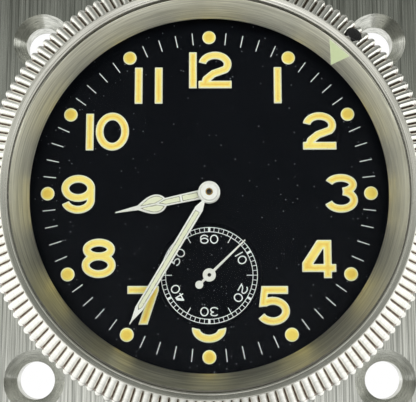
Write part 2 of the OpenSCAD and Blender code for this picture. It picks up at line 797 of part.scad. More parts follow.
module hour_windows() {
    half = hour_stem_w / 2 - hand_rail;
    y_end = leaf_start_y + 0.35;
    bar = 0.12;
    polygon([
        [-half, boss_r + 0.05], [half, boss_r + 0.05], [half, hour_bar_y - bar], [-half, hour_bar_y - bar]
    ]);
    polygon([
        [-half, hour_bar_y + bar], [half, hour_bar_y + bar], [half - 0.05, y_end], [0, y_end + 0.75],
        [0.05 - half, y_end]
    ]);
    for (s = [-1, 1]) difference() {
        leaf(hand_rail);
        polygon([
            [-leaf_w * s, leaf_start_y - 1], [s * (half + hand_rail - 0.06), leaf_start_y - 1],
            [s * (half + hand_rail - 0.08), y_end], [s * 0.1, y_end + 1.2], [s * 0.1, leaf_end_y],
            [-leaf_w * s, leaf_end_y]
        ]);
    }
}

module hour_hand() {
    color(white_paint) clock() from_twelve(hour_angle) {
        translate([0, 0, hour_hand_z]) linear_extrude(hand_t) difference() {
            union() {
                hour_outline();
                circle(r = boss_r);
            }
            hour_windows();
            circle(r = hour_pipe_r + seat_fit);
        }
    }
}

module hour_hand_lume() {
    color(pale_lume) clock() from_twelve(hour_angle)
        translate([0, 0, hour_hand_z + 0.02]) linear_extrude(hand_t - 0.04) hour_windows();
}

// Minute hand: a lance with a narrow neck, parallel sides and a long point
module minute_outline() {
    shoulder = 0.885 * minute_len;
    polygon([
        [-0.22, 0.8], [0.22, 0.8], [0.2, 1.35], [minute_w / 2, 2.2], [minute_w / 2 - 0.04, shoulder],
        [0.1, minute_len - 0.55], [0.05, minute_len], [-0.05, minute_len], [-0.1, minute_len - 0.55],
        [-minute_w / 2 + 0.04, shoulder], [-minute_w / 2, 2.2], [-0.2, 1.35]
    ]);
}
module minute_window() {
    half = minute_w / 2 - hand_rail - 0.02;
    polygon([[-half, 2.55], [half, 2.55], [half, 0.875 * minute_len], [-half, 0.875 * minute_len]]);
}

module minute_hand() {
    color(white_paint) clock() from_twelve(minute_angle) {
        translate([0, 0, minute_hand_z]) linear_extrude(hand_t) difference() {
            union() {
                minute_outline();
                circle(r = boss_r);
            }
            minute_window();
            circle(r = cannon_pipe_r + seat_fit);
        }
        tube(0.92, cannon_pipe_r + seat_fit, minute_hand_z + 0.05, boss_t - 0.05);
    }
}

module minute_hand_lume() {
    color(pale_lume) clock() from_twelve(minute_angle)
        translate([0, 0, minute_hand_z + 0.02]) linear_extrude(hand_t - 0.04) minute_window();
}

// Seconds hand with a round hub and a small round counterweight
module seconds_hand() {
    tail = 1.56;
    color(white_paint) clock() translate(fourth_pos) from_twelve(seconds_angle) {
        translate([0, 0, seconds_hand_z]) linear_extrude(hand_t) difference() {
            union() {
                polygon([
                    [-0.12, -tail], [0.12, -tail], [0.16, 0.2], [0.08, seconds_len], [-0.08, seconds_len],
                    [-0.16, 0.2]
                ]);
                circle(r = 0.74);
                translate([0, -tail]) circle(r = 0.45);
            }
            circle(r = seconds_pin_r + seat_fit);
        }
    }
}

// Crown with a ridged rim, a domed end and a bore that takes the tube
module crown() {
    r = crown_d / 2;
    end_x = crown_x + crown_len;
    color(steel) clock() translate([0, 0, stem_z]) rotate([0, 90, 0]) difference() {
        intersection() {
            translate([0, 0, crown_x]) linear_extrude(crown_len) polygon([
                for (i = [0 : crown_ridges - 1]) each [
                    polar(r - 0.3, (i - 0.32) * 360 / crown_ridges), polar(r, (i - 0.2) * 360 / crown_ridges),
                    polar(r, (i + 0.2) * 360 / crown_ridges), polar(r - 0.3, (i + 0.32) * 360 / crown_ridges)
                ]
            ]);
            rotate_extrude() polygon([
                [0, crown_x], [r - 0.3, crown_x], [r, crown_x + 0.3], [r, end_x - 0.6], [r - 0.6, end_x - 0.1],
                [0, end_x]
            ]);
        }
        disc(tube_d / 2 + 0.1, crown_x - 1, tube_out_x - crown_x + 1.2);
        disc(stem_d / 2 + seat_fit, crown_x - 1, 3);
    }
}

module crown_tube() {
    color(steel) clock() translate([0, 0, stem_z]) rotate([0, 90, 0])
        tube(tube_d / 2, tube_bore_r, tube_in_x, tube_out_x - tube_in_x);
}

module winding_stem() {
    color(dark_steel) clock() translate([0, 0, stem_z]) rotate([0, 90, 0])
        disc(stem_d / 2, stem_in_x, crown_x + 1.9 - stem_in_x);
}

// Gear whose teeth reach up between the crown wheel's face teeth
module winding_pinion() {
    color(dark_steel) clock() translate([0, 0, stem_z]) rotate([0, 90, 0]) difference() {
        translate([0, 0, winding_x]) linear_extrude(winding_len) polygon([
            for (i = [0 : winding_teeth - 1]) each [
                polar(winding_r - 0.4, (i - 0.22) * 360 / winding_teeth),
                polar(winding_r, (i - 0.1) * 360 / winding_teeth),
                polar(winding_r, (i + 0.1) * 360 / winding_teeth),
                polar(winding_r - 0.4, (i + 0.22) * 360 / winding_teeth)
            ]
        ]);
        disc(stem_d / 2 + run_fit, winding_x - 1, winding_len + 2);
    }
}

// Sleeve on the stem with a groove for its lever and face teeth at both ends
module sliding_pinion() {
    color(dark_steel) clock() translate([0, 0, stem_z]) rotate([0, 90, 0]) difference() {
        disc(sliding_r, sliding_x, sliding_len);
        disc(stem_d / 2 + run_fit, sliding_x - 1, sliding_len + 2);
        tube(sliding_r + 1, sliding_r - 0.35, sliding_x + 0.37 * sliding_len, 0.7);
        for (k = [0 : 7]) rotate(45 * k) translate([0, -0.16, sliding_x - 0.01]) cube([sliding_r + 1, 0.32, 0.25]);
    }
}

module setting_wheel() {
    color(dark_steel) clock() translate(setting_pos) difference() {
        rotate(180 + 180 / setting_teeth) translate([0, 0, minute_wheel_z[0]])
            linear_extrude(minute_wheel_z[1]) wheel_outline(setting_teeth, cannon_mod);
        disc(setting_stud_r + run_fit, motion_floor_z - 1, 3);
    }
}

// Crown wheel: meshes with the ratchet wheel at its rim and with the winding pinion at its face
module crown_wheel() {
    mesh_angle = atan2(barrel_pos[1], barrel_pos[0] - crown_wheel_pos[0]);
    face_teeth_z = stem_z - winding_r + 0.2;
    color(steel) clock() translate(crown_wheel_pos) {
        rotate(mesh_angle) translate([0, 0, top_wheel_z[0]]) linear_extrude(top_wheel_z[1]) difference() {
            wheel_outline(crown_teeth, ratchet_mod);
            circle(r = 0.9 + run_fit);
        }
        for (k = [0 : crown_teeth - 1]) rotate((k + 0.5) * 360 / crown_teeth)
            translate([contrate_r - 0.5, -0.13, top_wheel_z[0] + top_wheel_z[1] - 0.05])
                cube([0.6, 0.26, face_teeth_z - top_wheel_z[0] - top_wheel_z[1] + 0.05]);
    }
}

module ratchet_wheel() {
    mesh_angle = atan2(-barrel_pos[1], crown_wheel_pos[0] - barrel_pos[0]);
    color(steel) clock() translate(barrel_pos)
        rotate(mesh_angle + 180 / ratchet_teeth) translate([0, 0, top_wheel_z[0]])
            linear_extrude(top_wheel_z[1]) difference() {
                wheel_outline(ratchet_teeth, ratchet_mod);
                square([1.3, 1.3], center = true);
            }
}

// Pawl that stops the ratchet wheel from turning back, drawn with its nose at the tooth tips
module click() {
    nose_r = ratchet_mod * (ratchet_teeth / 2 + 1) + pass_gap;
    nose = barrel_pos + polar(nose_r, click_angle + 9);
    back = barrel_pos + polar(nose_r + 0.55 * mk, click_angle + 9.5);
    along = unit(nose - click_pos);
    color(steel) clock() translate([0, 0, top_wheel_z[0]]) linear_extrude(top_wheel_z[1]) difference() {
        union() {
            translate(click_pos) circle(r = 0.85 * mk);
            polygon([
                click_pos + 0.5 * mk * left_of(along), click_pos - 0.6 * mk * along,
                click_pos - 0.5 * mk * left_of(along), back, nose
            ]);
        }
        translate(click_pos) circle(r = 0.35 * mk + run_fit);
    }
}

// Leaf that rests near the click's back, with its own foot
module click_spring() {
    foot = barrel_pos + polar(10.3 * mk, click_angle + 30);
    tip = barrel_pos + polar(9.35 * mk, click_angle + 9);
    along = unit(tip - foot);
    color(steel) clock() translate([0, 0, top_wheel_z[0]]) linear_extrude(0.2) {
        translate(foot) circle(r = 0.5 * mk);
        polygon([
            foot - 0.1 * left_of(along), tip - 0.06 * left_of(along),
            tip + 0.06 * left_of(along), foot + 0.1 * left_of(along)
        ]);
    }
}

// Ring that centres the movement in the case
module movement_ring() {
    color([0.85, 0.85, 0.82]) clock() difference() {
        tube(case_bore_r - pass_gap, movement_r + pass_gap, bridge_back_z - 0.6, seat_z - bridge_back_z + 0.6);
        translate([0, 0, stem_z]) rotate([0, 90, 0]) cylinder(r = tube_bore_r + 0.2, h = case_r);
        clamp_places() disc(0.4 + seat_fit, bridge_back_z - 1, 2);
    }
}

module clamp_places() {
    for (a = [100, 190, 280]) rotate(a) translate([movement_r + ring_w / 2 - pass_gap, 0, 0]) children();
}

// Small clamps that reach from the ring into the case's groove
module casing_clamps() {
    clamp_w = 3;
    color(steel) clock() clamp_places() difference() {
        translate([0.15 - ring_w / 2, -clamp_w / 2, clamp_z - 0.4]) cube([ring_w + 0.3, clamp_w, 0.35]);
        disc(0.4 + seat_fit, clamp_z - 1, 2);
    }
}

module clamp_screws() {
    color(dark_steel) clock() clamp_places() difference() {
        union() {
            disc(0.4, clamp_z - 0.5, 1.1);
            disc(0.75, clamp_z - 0.7, 0.3);
        }
        translate([-1, -0.1, clamp_z - 0.8]) cube([2, 0.2, 0.2]);
    }
}

// Places where wheels are pivoted, with the depth of the jewel in the main plate
PIVOTS = [third_pos, escape_pos, fork_pos, balance_pos];

// Main plate: motion-work pocket in front, keyless cut-outs, and holes for the arbors and jewels
module main_plate() {
    cut_x = sliding_x - sliding_travel - 0.2;
    color(gilt) clock() difference() {
        disc(movement_r, main_back_z, main_plate_t);
        disc(hour_mod * (hour_teeth / 2 + 1) + 0.3, motion_floor_z, 3);
        translate(minute_pos) disc(cannon_mod * (minute_teeth / 2 + 1) + 0.3, motion_floor_z, 3);
        translate(setting_pos) disc(cannon_mod * (setting_teeth / 2 + 1) + 0.3, motion_floor_z, 3);
        disc(centre_arbor_r + 0.1 + run_fit, main_back_z - 1, 4);
        translate(fourth_pos) disc(seconds_pin_r + run_fit, main_back_z - 1, 4);
        translate(barrel_pos) disc(0.9 + run_fit, main_back_z - 1, 4);
        for (p = PIVOTS) translate(p) disc(jewel_d / 2 + seat_fit, main_back_z - 1, 1.6);
        translate([cut_x, -sliding_r - 0.15, main_back_z - 1])
            cube([winding_x + winding_len + 0.2 - cut_x, 2 * sliding_r + 0.3, sliding_r + 1.2]);
        translate([winding_x - 0.1, -winding_r - 0.1, main_back_z - 1])
            cube([winding_len + 0.2, 2 * winding_r + 0.2, 4]);
        translate([stem_in_x - 0.4, 0, stem_z]) rotate([0, 90, 0])
            cylinder(r = stem_d / 2 + run_fit, h = movement_r);
    }
    color(gilt) clock() {
        translate(minute_pos) disc(minute_stud_r, motion_floor_z - 0.01, 0.95);
        translate(setting_pos) disc(setting_stud_r, motion_floor_z - 0.01, 0.7);
    }
}

module bridge_slab(z = bridge_back_z, t = bridge_t) {
    translate([0, 0, z]) linear_extrude(t) children();
}

// Pillars stand on the main plate under the bridges' outer ends
module pillar(a0, a1) {
    translate([0, 0, bridge_z - 0.01]) linear_extrude(bridge_gap + 0.01)
        sector(15.4 * mk, movement_r - 0.1, a0, a1);
}

// Upper bridge over the barrel and the winding wheels
module barrel_bridge() {
    r = movement_r - 0.1;
    ratchet_r = ratchet_mod * (ratchet_teeth / 2 + 1) + 0.15;
    crown_r = ratchet_mod * (crown_teeth / 2 + 1) + 0.15;
    color(gilt) clock() difference() {
        union() {
            bridge_slab() intersection() {
                circle(r = r);
                union() {
                    translate([-r, 1.6 * mk]) square([2 * r, r]);
                    translate([6.2 * mk, balance_pos[1] + balance_r + 0.03]) square([r, r]);
                }
            }
            pillar(-17, 24);
            pillar(125, 172);
        }
        translate(barrel_pos) disc(ratchet_r, bridge_back_z - 1, 1.4);
        translate(crown_wheel_pos) disc(crown_r, bridge_back_z - 1, 1.4);
        translate(barrel_pos) disc(0.9 + run_fit, bridge_back_z - 1, 4);
        translate(crown_wheel_pos) disc(contrate_r + 0.3, bridge_back_z - 1, 4);
        translate(barrel_pos) translate([0, 0, bridge_back_z - 1]) linear_extrude(1.4)
            sector(ratchet_r - 0.5, 11.2 * mk, click_angle - 9, click_angle + 36);
        translate([0, 0, stem_z]) rotate([0, 90, 0]) cylinder(r = stem_d / 2 + 0.15, h = 2 * movement_r);
        translate([winding_x - 0.1, -winding_r - 0.1, bridge_back_z - 1])
            cube([winding_len + 0.2, 2 * winding_r + 0.2, 4]);
        screw_places(BARREL_SCREWS) disc(0.45 + seat_fit, bridge_back_z - 1, 5);
    }
    color(gilt) clock() translate(crown_wheel_pos) {
        disc(0.9, top_wheel_z[0], bridge_t + 0.1);
        difference() {
            disc(contrate_r + 0.7, bridge_z - 0.01, 0.36);
            translate([winding_x - 0.1 - crown_wheel_pos[0], -winding_r - 0.1, bridge_z - 1])
                cube([2, 2 * winding_r + 0.2, 4]);
        }
    }
}

module screw_places(points) {
    for (p = points) translate(p) children();
}

// Bridge over the centre, third, fourth and escape wheels
module train_bridge() {
    r = movement_r - 0.1;
    color(gilt) clock() difference() {
        union() {
            bridge_slab() intersection() {
                circle(r = r);
                union() {
                    translate([-r, -r]) square([r + 1.2 * mk, r + 1.4 * mk]);
                    translate([0, -r]) square([balance_pos[0] - balance_r - 0.43, 9 * mk]);
                }
            }
            pillar(187, 225);
            pillar(254, 271);
        }
        translate(barrel_pos) disc(ratchet_mod * (ratchet_teeth / 2 + 1) + 0.15, bridge_back_z - 1, 1.4);
        disc(jewel_d / 2 + seat_fit, bridge_back_z - 1, 4);
        for (p = [third_pos, fourth_pos, escape_pos])
            translate(p) disc(jewel_d / 2 + seat_fit, bridge_back_z - 1, 4);
        screw_places(TRAIN_SCREWS) disc(0.45 + seat_fit, bridge_back_z - 1, 5);
    }
}

// Cock that carries the balance's upper pivot
module balance_cock() {
    cock_z = bridge_z - 0.45;
    color(gilt) clock() difference() {
        union() {
            translate([0, 0, cock_z - 0.75]) linear_extrude(0.75) {
                translate(balance_pos) circle(r = 1.5 * mk);
                translate(cock_foot) circle(r = 1.0 * mk);
                polygon([
                    balance_pos + polar(1.5 * mk, -160), balance_pos + polar(1.5 * mk, 0),
                    cock_foot + polar(0.95 * mk, 20), cock_foot + polar(0.95 * mk, 200)
                ]);
            }
            translate([0, 0, cock_z - 0.01]) linear_extrude(main_back_z - cock_z + 0.01)
                translate(cock_foot) circle(r = 0.9 * mk);
        }
        translate(balance_pos) disc(jewel_d / 2 + seat_fit, cock_z - 2, 4);
        translate(cock_foot) disc(0.45 + seat_fit, cock_z - 2, 6);
    }
}

// Small bridge over the pallet fork
module pallet_bridge() {
    foot = fork_pos - 2.6 * mk * left_of(lever_dir);
    half = 0.4 * mk * lever_dir;
    top = main_back_z - 0.85 * gk;
    color(gilt) clock() difference() {
        union() {
            translate([0, 0, top - 0.3 * gk]) linear_extrude(0.3 * gk) {
                translate(fork_pos) circle(r = 0.8 * mk);
                translate(foot) circle(r = 0.6 * mk);
                polygon([fork_pos + half, fork_pos - half, foot - half, foot + half]);
            }
            translate([0, 0, top - 0.01]) linear_extrude(main_back_z - top + 0.01)
                translate(foot) circle(r = 0.6 * mk);
        }
        translate(fork_pos) disc(pivot_r + run_fit, top - 1, 3);
    }
}

// Slotted screws of the bridges and cock
module bridge_screws() {
    color(dark_steel) clock() {
        screw_places(concat(BARREL_SCREWS, TRAIN_SCREWS)) slotted_screw(bridge_back_z, bridge_t + bridge_gap);
        translate(cock_foot) slotted_screw(bridge_z - 1.2, 1.2 + bridge_gap);
    }
}

module slotted_screw(z, grip) {
    difference() {
        union() {
            disc(0.45, z, grip);
            disc(0.8, z - 0.4, 0.4);
        }
        translate([-1, -0.1, z - 0.41]) cube([2, 0.2, 0.2]);
    }
}

// Pierced jewels in the plate and bridges
module jewels() {
    bore = pivot_r + run_fit;
    color(ruby) clock() {
        for (p = PIVOTS) translate(p) tube(jewel_d / 2, bore, main_back_z + 0.05, 0.5);
        for (p = [third_pos, escape_pos]) translate(p) tube(jewel_d / 2, bore, bridge_back_z + 0.1, 0.6);
        translate(fourth_pos) tube(jewel_d / 2, bore, bridge_back_z + 0.1, 0.6);
        tube(jewel_d / 2, bore, bridge_back_z + 0.1, 0.6);
        translate(balance_pos) tube(jewel_d / 2, bore, bridge_z - 1.1, 0.5);
    }
}

// Barrel: toothed drum, snap-in cover, arbor with a square for the ratchet wheel, coiled spring
module barrel_drum() {
    wall_r = barrel_mod * (barrel_teeth / 2 - 1.3) - 0.3;
    color(brass) clock() translate(barrel_pos) difference() {
        union() {
            rotate(180 + barrel_angle) translate([0, 0, drum_z[0] + drum_z[1] - 0.3]) linear_extrude(0.3)
                wheel_outline(barrel_teeth, barrel_mod);
            disc(wall_r, drum_z[0], drum_z[1]);
        }
        disc(wall_r - 0.35, drum_z[0] - 0.01, drum_z[1] - 0.19);
        disc(0.9 + run_fit, drum_z[0] - 1, 3);
    }
}

module barrel_cover() {
    wall_r = barrel_mod * (barrel_teeth / 2 - 1.3) - 0.3;
    color(brass) clock() translate(barrel_pos)
        tube(wall_r - 0.35 - seat_fit, 0.9 + run_fit, drum_z[0], 0.15);
}

module barrel_arbor() {
    color(dark_steel) clock() translate(barrel_pos) {
        disc(1.3, drum_z[0] + 0.18, drum_z[1] - 0.4);
        disc(0.9, bridge_z - 0.3, main_back_z + 0.8 - bridge_z + 0.3);
        rotate(atan2(-barrel_pos[1], crown_wheel_pos[0] - barrel_pos[0]) + 180 / ratchet_teeth)
            translate([-0.64, -0.64, top_wheel_z[0] - 0.1]) cube([1.28, 1.28, bridge_t]);
        disc(1.1, top_wheel_z[0] - 0.25, 0.24);
    }
}

// A flat spring of several turns, as one band between two spirals
module spiral_band(r0, r1, turns, w) {
    steps = 20 * turns;
    polygon(concat(
        [for (k = [0 : steps]) polar(r0 + (r1 - r0) * k / steps, 360 * turns * k / steps)],
        [for (k = [steps : -1 : 0]) polar(r0 + w + (r1 - r0) * k / steps, 360 * turns * k / steps)]
    ));
}

module mainspring() {
    wall_r = barrel_mod * (barrel_teeth / 2 - 1.3) - 0.65;
    color(steel) clock() translate(barrel_pos) translate([0, 0, drum_z[0] + 0.2])
        linear_extrude(drum_z[1] - 0.45) spiral_band(wall_r - 2.9, wall_r - 0.25, mainspring_turns, 0.15);
}

// Going train
module centre_wheel() {
    mesh = atan2(third_pos[1], third_pos[0]);
    color(brass) clock() {
        rotate(mesh) spoked_wheel(centre_teeth, centre_mod, centre_wheel_z, 0.6, 1.1, 5);
        rotate(barrel_angle + 180 / centre_leaves)
            pinion(centre_leaves, barrel_mod, drum_z[0] + 0.05, main_back_z - 0.05);
        disc(centre_arbor_r + 0.1, main_back_z - 0.06, main_plate_t - 1.1 + 0.06);
        disc(centre_arbor_r, main_back_z, minute_hand_z + boss_t - main_back_z);
        disc(arbor_r, bridge_z + 0.05, 0.5);
        disc(0.9, centre_wheel_z[0], drum_z[0] + 0.06 - centre_wheel_z[0]);
        disc(pivot_r, bridge_back_z + 0.1, 1.5);
    }
}

module third_wheel() {
    to_centre = atan2(-third_pos[1], -third_pos[0]);
    to_fourth = atan2(fourth_pos[1] - third_pos[1], fourth_pos[0] - third_pos[0]);
    color(brass) clock() translate(third_pos) {
        rotate(to_fourth) spoked_wheel(third_teeth, third_mod, third_wheel_z, 0.5, 0.9, 5);
        rotate(to_centre + 180 / third_leaves)
            pinion(third_leaves, centre_mod, bridge_z + 0.08, third_wheel_z[0] - 0.1);
        arbor(arbor_r, main_back_z - 0.05, bridge_z + 0.05, main_back_z + 0.5, bridge_back_z + 0.15);
    }
}

module fourth_wheel() {
    to_third = atan2(third_pos[1] - fourth_pos[1], third_pos[0] - fourth_pos[0]);
    color(brass) clock() translate(fourth_pos) {
        rotate(escape_angle) spoked_wheel(fourth_teeth, fourth_mod, fourth_wheel_z, 0.45, 0.8, 4);
        rotate(to_third + 180 / fourth_leaves)
            pinion(fourth_leaves, third_mod, fourth_wheel_z[0] + 0.1, main_back_z - 0.1);
        arbor(arbor_r, main_back_z - 0.05, bridge_z + 0.05, main_back_z, bridge_back_z + 0.15);
        disc(seconds_pin_r, main_back_z - 0.1, seconds_hand_z + hand_t + 0.1 - main_back_z);
    }
}

// Escape wheel with fifteen club teeth
module escape_wheel() {
    tip_r = 2.55;
    to_fourth = escape_angle + 180;
    color(steel) clock() translate(escape_pos) {
        translate([0, 0, escape_wheel_z[0]]) linear_extrude(escape_wheel_z[1]) scale(mk) {
            difference() {
                polygon([
                    for (i = [0 : escape_count - 1]) each [
                        polar(1.95, (i - 0.3) * 24), polar(tip_r - 0.1, i * 24 - 2),
                        polar(tip_r, i * 24 + 3), polar(tip_r - 0.18, i * 24 + 3.4), polar(1.95, (i + 0.12) * 24)
                    ]
                ]);
                circle(r = 1.6);
            }
            circle(r = 0.7);
            for (k = [0 : 3]) rotate(90 * k) translate([0, -0.15]) square([1.7, 0.3]);
        }
        rotate(to_fourth + 180 / escape_leaves)
            pinion(escape_leaves, fourth_mod, bridge_z + 0.3, escape_wheel_z[0] - 0.08);
        arbor(0.25 * mk, main_back_z - 0.05, bridge_z + 0.05, main_back_z + 0.5, bridge_back_z + 0.15);
    }
}

// Fork with its two stones, and the guard fork that the balance's roller works
module pallet_fork() {
    color(steel) clock() translate(fork_pos) rotate(lever_angle) {
        translate([0, 0, fork_z[0]]) linear_extrude(fork_z[1]) scale(mk) difference() {
            union() {
                circle(r = 0.55);
                polygon([[0, -0.2], [0, 0.2], [2.2, 0.14], [2.2, -0.14]]);
                translate([2.2, -0.42]) square([0.7, 0.84]);
                for (s = [-1, 1]) polygon([[0.2, s * 0.2], [-0.15, s * 1.9], [-0.6, s * 1.9], [-0.3, s * 0.2]]);
            }
            translate([2.4, -0.15]) square([1, 0.3]);
        }
        arbor(0.22, main_back_z - 0.05, fork_z[0] - 0.1, main_back_z + 0.5, main_back_z - 1.1);
    }
}

module pallet_stones() {
    color(ruby) clock() translate(fork_pos) rotate(lever_angle)
        for (s = [-1, 1]) translate([-0.81 * mk, (s * 1.7 - 0.13) * mk, fork_z[0] + 0.02])
            cube([0.21 * mk, 0.26 * mk, fork_z[1] - 0.04]);
}

// Balance with two arms, timing screws left plain, its staff and the roller
module balance_wheel() {
    rim_w = 0.45;
    color(brass) clock() translate(balance_pos) {
        translate([0, 0, balance_z[0]]) linear_extrude(balance_z[1]) difference() {
            circle(r = balance_r);
            circle(r = balance_r - rim_w);
        }
        translate([0, 0, balance_z[0]]) linear_extrude(0.2) {
            square([2 * balance_r - rim_w, 0.7], center = true);
            circle(r = 0.9);
        }
        disc(0.3, bridge_z - 0.4, main_back_z - 0.05 - bridge_z + 0.4);
        disc(0.85, fork_z[0] - 0.45, 0.2);
        disc(pivot_r, bridge_z - 1.05, main_back_z + 1.5 - bridge_z);
    }
}

// Hairspring, its outer end held by the cock and its inner end at the staff
module hairspring() {
    color([0.35, 0.38, 0.55]) clock() translate(balance_pos)
        translate([0, 0, bridge_z - 0.36]) linear_extrude(0.12)
            spiral_band(0.5, 0.59 * balance_r, hairspring_turns, 0.06);
}

// Motion work under the dial
module cannon_pinion() {
    color(dark_steel) clock() difference() {
        union() {
            rotate(180 / cannon_leaves) pinion(cannon_leaves, cannon_mod, cannon_z[0], cannon_z[0] + cannon_z[1]);
            disc(cannon_pipe_r, cannon_z[0], minute_hand_z + boss_t - cannon_z[0]);
        }
        disc(centre_arbor_r + run_fit, cannon_z[0] - 1, 10);
    }
}

module minute_wheel() {
    color(brass) clock() translate(minute_pos) difference() {
        union() {
            rotate(180) translate([0, 0, minute_wheel_z[0]]) linear_extrude(minute_wheel_z[1])
                wheel_outline(minute_teeth, cannon_mod);
            rotate(180 + 180 / minute_leaves)
                pinion(minute_leaves, hour_mod, minute_wheel_z[0] + minute_wheel_z[1] - 0.01, hour_wheel_z[0] + 0.25);
        }
        disc(0.3 + run_fit, motion_floor_z - 1, 3);
    }
}

module hour_wheel() {
    color(brass) clock() difference() {
        union() {
            translate([0, 0, hour_wheel_z[0]]) linear_extrude(hour_wheel_z[1]) wheel_outline(hour_teeth, hour_mod);
            disc(hour_pipe_r, hour_wheel_z[0], hour_hand_z + hand_t - hour_wheel_z[0]);
        }
        disc(cannon_pipe_r + run_fit, hour_wheel_z[0] - 1, 5);
    }
}

mounting_plate();
case_body();
case_back();
case_back_gasket();
case_screws();
bezel_spring_ring();
bezel();
bezel_inner_ring();
ring_triangle();
index_pip();
crystal();
crystal_gasket();
dial();
hour_numerals();
hour_dots();
hour_hand();
hour_hand_lume();
minute_hand();
minute_hand_lume();
seconds_hand();
crown();
crown_tube();
winding_stem();
winding_pinion();
sliding_pinion();
setting_wheel();
crown_wheel();
ratchet_wheel();
click();
click_spring();
movement_ring();
casing_clamps();
clamp_screws();
main_plate();
barrel_bridge();
train_bridge();
balance_cock();
pallet_bridge();
bridge_screws();
jewels();
barrel_drum();
barrel_cover();
barrel_arbor();
mainspring();
centre_wheel();
third_wheel();
fourth_wheel();
escape_wheel();
pallet_fork();
pallet_stones();
balance_wheel();
hairspring();
cannon_pinion();
minute_wheel();
hour_wheel();
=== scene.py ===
"""A rally dashboard clock, dressed over its CAD frame.

Shapes are worked out in clock coordinates: millimetres, x to 3 o'clock, y to 12, z out of the dial,
whose top is at 0. `Shell.placed` takes them to the row's frame in metres, with the clock facing -Y.
"""
import logging
import math
from dataclasses import dataclass, field, replace
from enum import Enum
from functools import reduce
from typing import Callable, ClassVar, Optional

import bpy
import numpy as np
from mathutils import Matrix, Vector


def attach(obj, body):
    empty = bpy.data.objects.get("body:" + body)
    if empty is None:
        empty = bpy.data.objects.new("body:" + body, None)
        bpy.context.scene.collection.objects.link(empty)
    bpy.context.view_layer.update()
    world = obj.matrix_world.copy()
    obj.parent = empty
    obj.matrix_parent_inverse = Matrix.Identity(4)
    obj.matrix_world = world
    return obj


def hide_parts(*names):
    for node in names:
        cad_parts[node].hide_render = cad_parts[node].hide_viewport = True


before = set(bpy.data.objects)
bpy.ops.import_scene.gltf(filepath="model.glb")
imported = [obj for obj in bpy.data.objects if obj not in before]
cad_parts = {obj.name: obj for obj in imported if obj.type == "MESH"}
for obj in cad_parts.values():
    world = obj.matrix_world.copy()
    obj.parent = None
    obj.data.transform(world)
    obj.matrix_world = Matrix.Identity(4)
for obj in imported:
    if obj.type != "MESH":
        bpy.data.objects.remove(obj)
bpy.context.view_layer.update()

LOG = logging.getLogger("clock")
MM = 0.001
# The dial's top above the plate's back, and the stem's axis below the dial's top, in mm
DIAL_HEIGHT = 13.5
STEM_DROP = 2.6
# Points that round to the same count of these along each axis become one
WELDS_PER_MM = 1e4
Array = np.ndarray
Pair = tuple[float, float]
Field = Callable[[Array], Array]
Colour = tuple[int, int, int]
Socket = bpy.types.NodeSocket
Tree = bpy.types.NodeTree
Value = Socket | float | tuple[float, ...]


# Surfaces


@dataclass
class Shell:
    """A closed surface in clock coordinates.

    Args:
        points: (n, 3) places in mm.
        faces: (m, 4) corners of each face, with -1 last in a triangle.
        depth: (n,) distance inside the outline in mm, which paints read as an attribute.
    """

    points: Array
    faces: Array
    depth: Optional[Array] = None

    def moved(self, x: float = 0.0, y: float = 0.0, z: float = 0.0) -> "Shell":
        """The shell shifted by x, y, z."""
        return replace(self, points=self.points + [x, y, z])

    def turned(self, degrees: float) -> "Shell":
        """The shell turned clockwise about the z axis, as a hand turns."""
        a = math.radians(degrees)
        turn = np.array([[math.cos(a), math.sin(a), 0], [-math.sin(a), math.cos(a), 0], [0, 0, 1]])
        return replace(self, points=self.points @ turn.T)

    def stood(self) -> "Shell":
        """The shell's z axis laid along +x, for what is turned about the stem."""
        x, y, z = self.points.T
        return replace(self, points=np.stack([z, y, -x], 1))

    def placed(self) -> Array:
        """The points in the row's frame, in metres."""
        x, y, z = self.points.T
        return np.stack([x, -(z + DIAL_HEIGHT), y], 1) * MM


def joined(shells: list[Shell]) -> Shell:
    """One shell of several, with their faces renumbered."""
    starts = np.cumsum([0] + [len(s.points) for s in shells])
    faces = [np.where(s.faces >= 0, s.faces + start, -1) for s, start in zip(shells, starts)]
    depths = [np.zeros(len(s.points)) if s.depth is None else s.depth for s in shells]
    return Shell(np.vstack([s.points for s in shells]), np.vstack(faces), np.concatenate(depths))


def outward(shell: Shell) -> Shell:
    """Turns every face round if the volume under the faces, summed with its sign, is negative."""
    f, p = shell.faces, shell.points
    tri = np.vstack([f[:, :3], f[f[:, 3] >= 0][:, [0, 2, 3]]])
    a, b, c = p[tri[:, 0]], p[tri[:, 1]], p[tri[:, 2]]
    if np.einsum("ij,ij->i", a, np.cross(b, c)).sum() >= 0:
        return shell
    turned = np.where(f[:, 3:] >= 0, f[:, ::-1], np.hstack([f[:, 2::-1], f[:, 3:]]))
    return replace(shell, faces=turned)


def welded(points: Array, faces: Array, depth: Optional[Array] = None) -> Shell:
    """Merges points nearer than 0.1 micrometres and drops the corners and faces that vanish."""
    keys = np.round(points * WELDS_PER_MM).astype(np.int64)
    _, first, where = np.unique(keys, axis=0, return_index=True, return_inverse=True)
    faces = np.where(faces >= 0, where.ravel()[faces], -1)
    keep = (faces != np.roll(faces, 1, axis=1)) & (faces >= 0)
    count = keep.sum(1)
    quads = faces[count == 4]
    rows = count == 3
    triangles = faces[rows][keep[rows]].reshape(-1, 3)
    triangles = np.hstack([triangles, np.full((len(triangles), 1), -1)])
    depth = None if depth is None else depth[first]
    return outward(Shell(points[first], np.vstack([quads, triangles]), depth))


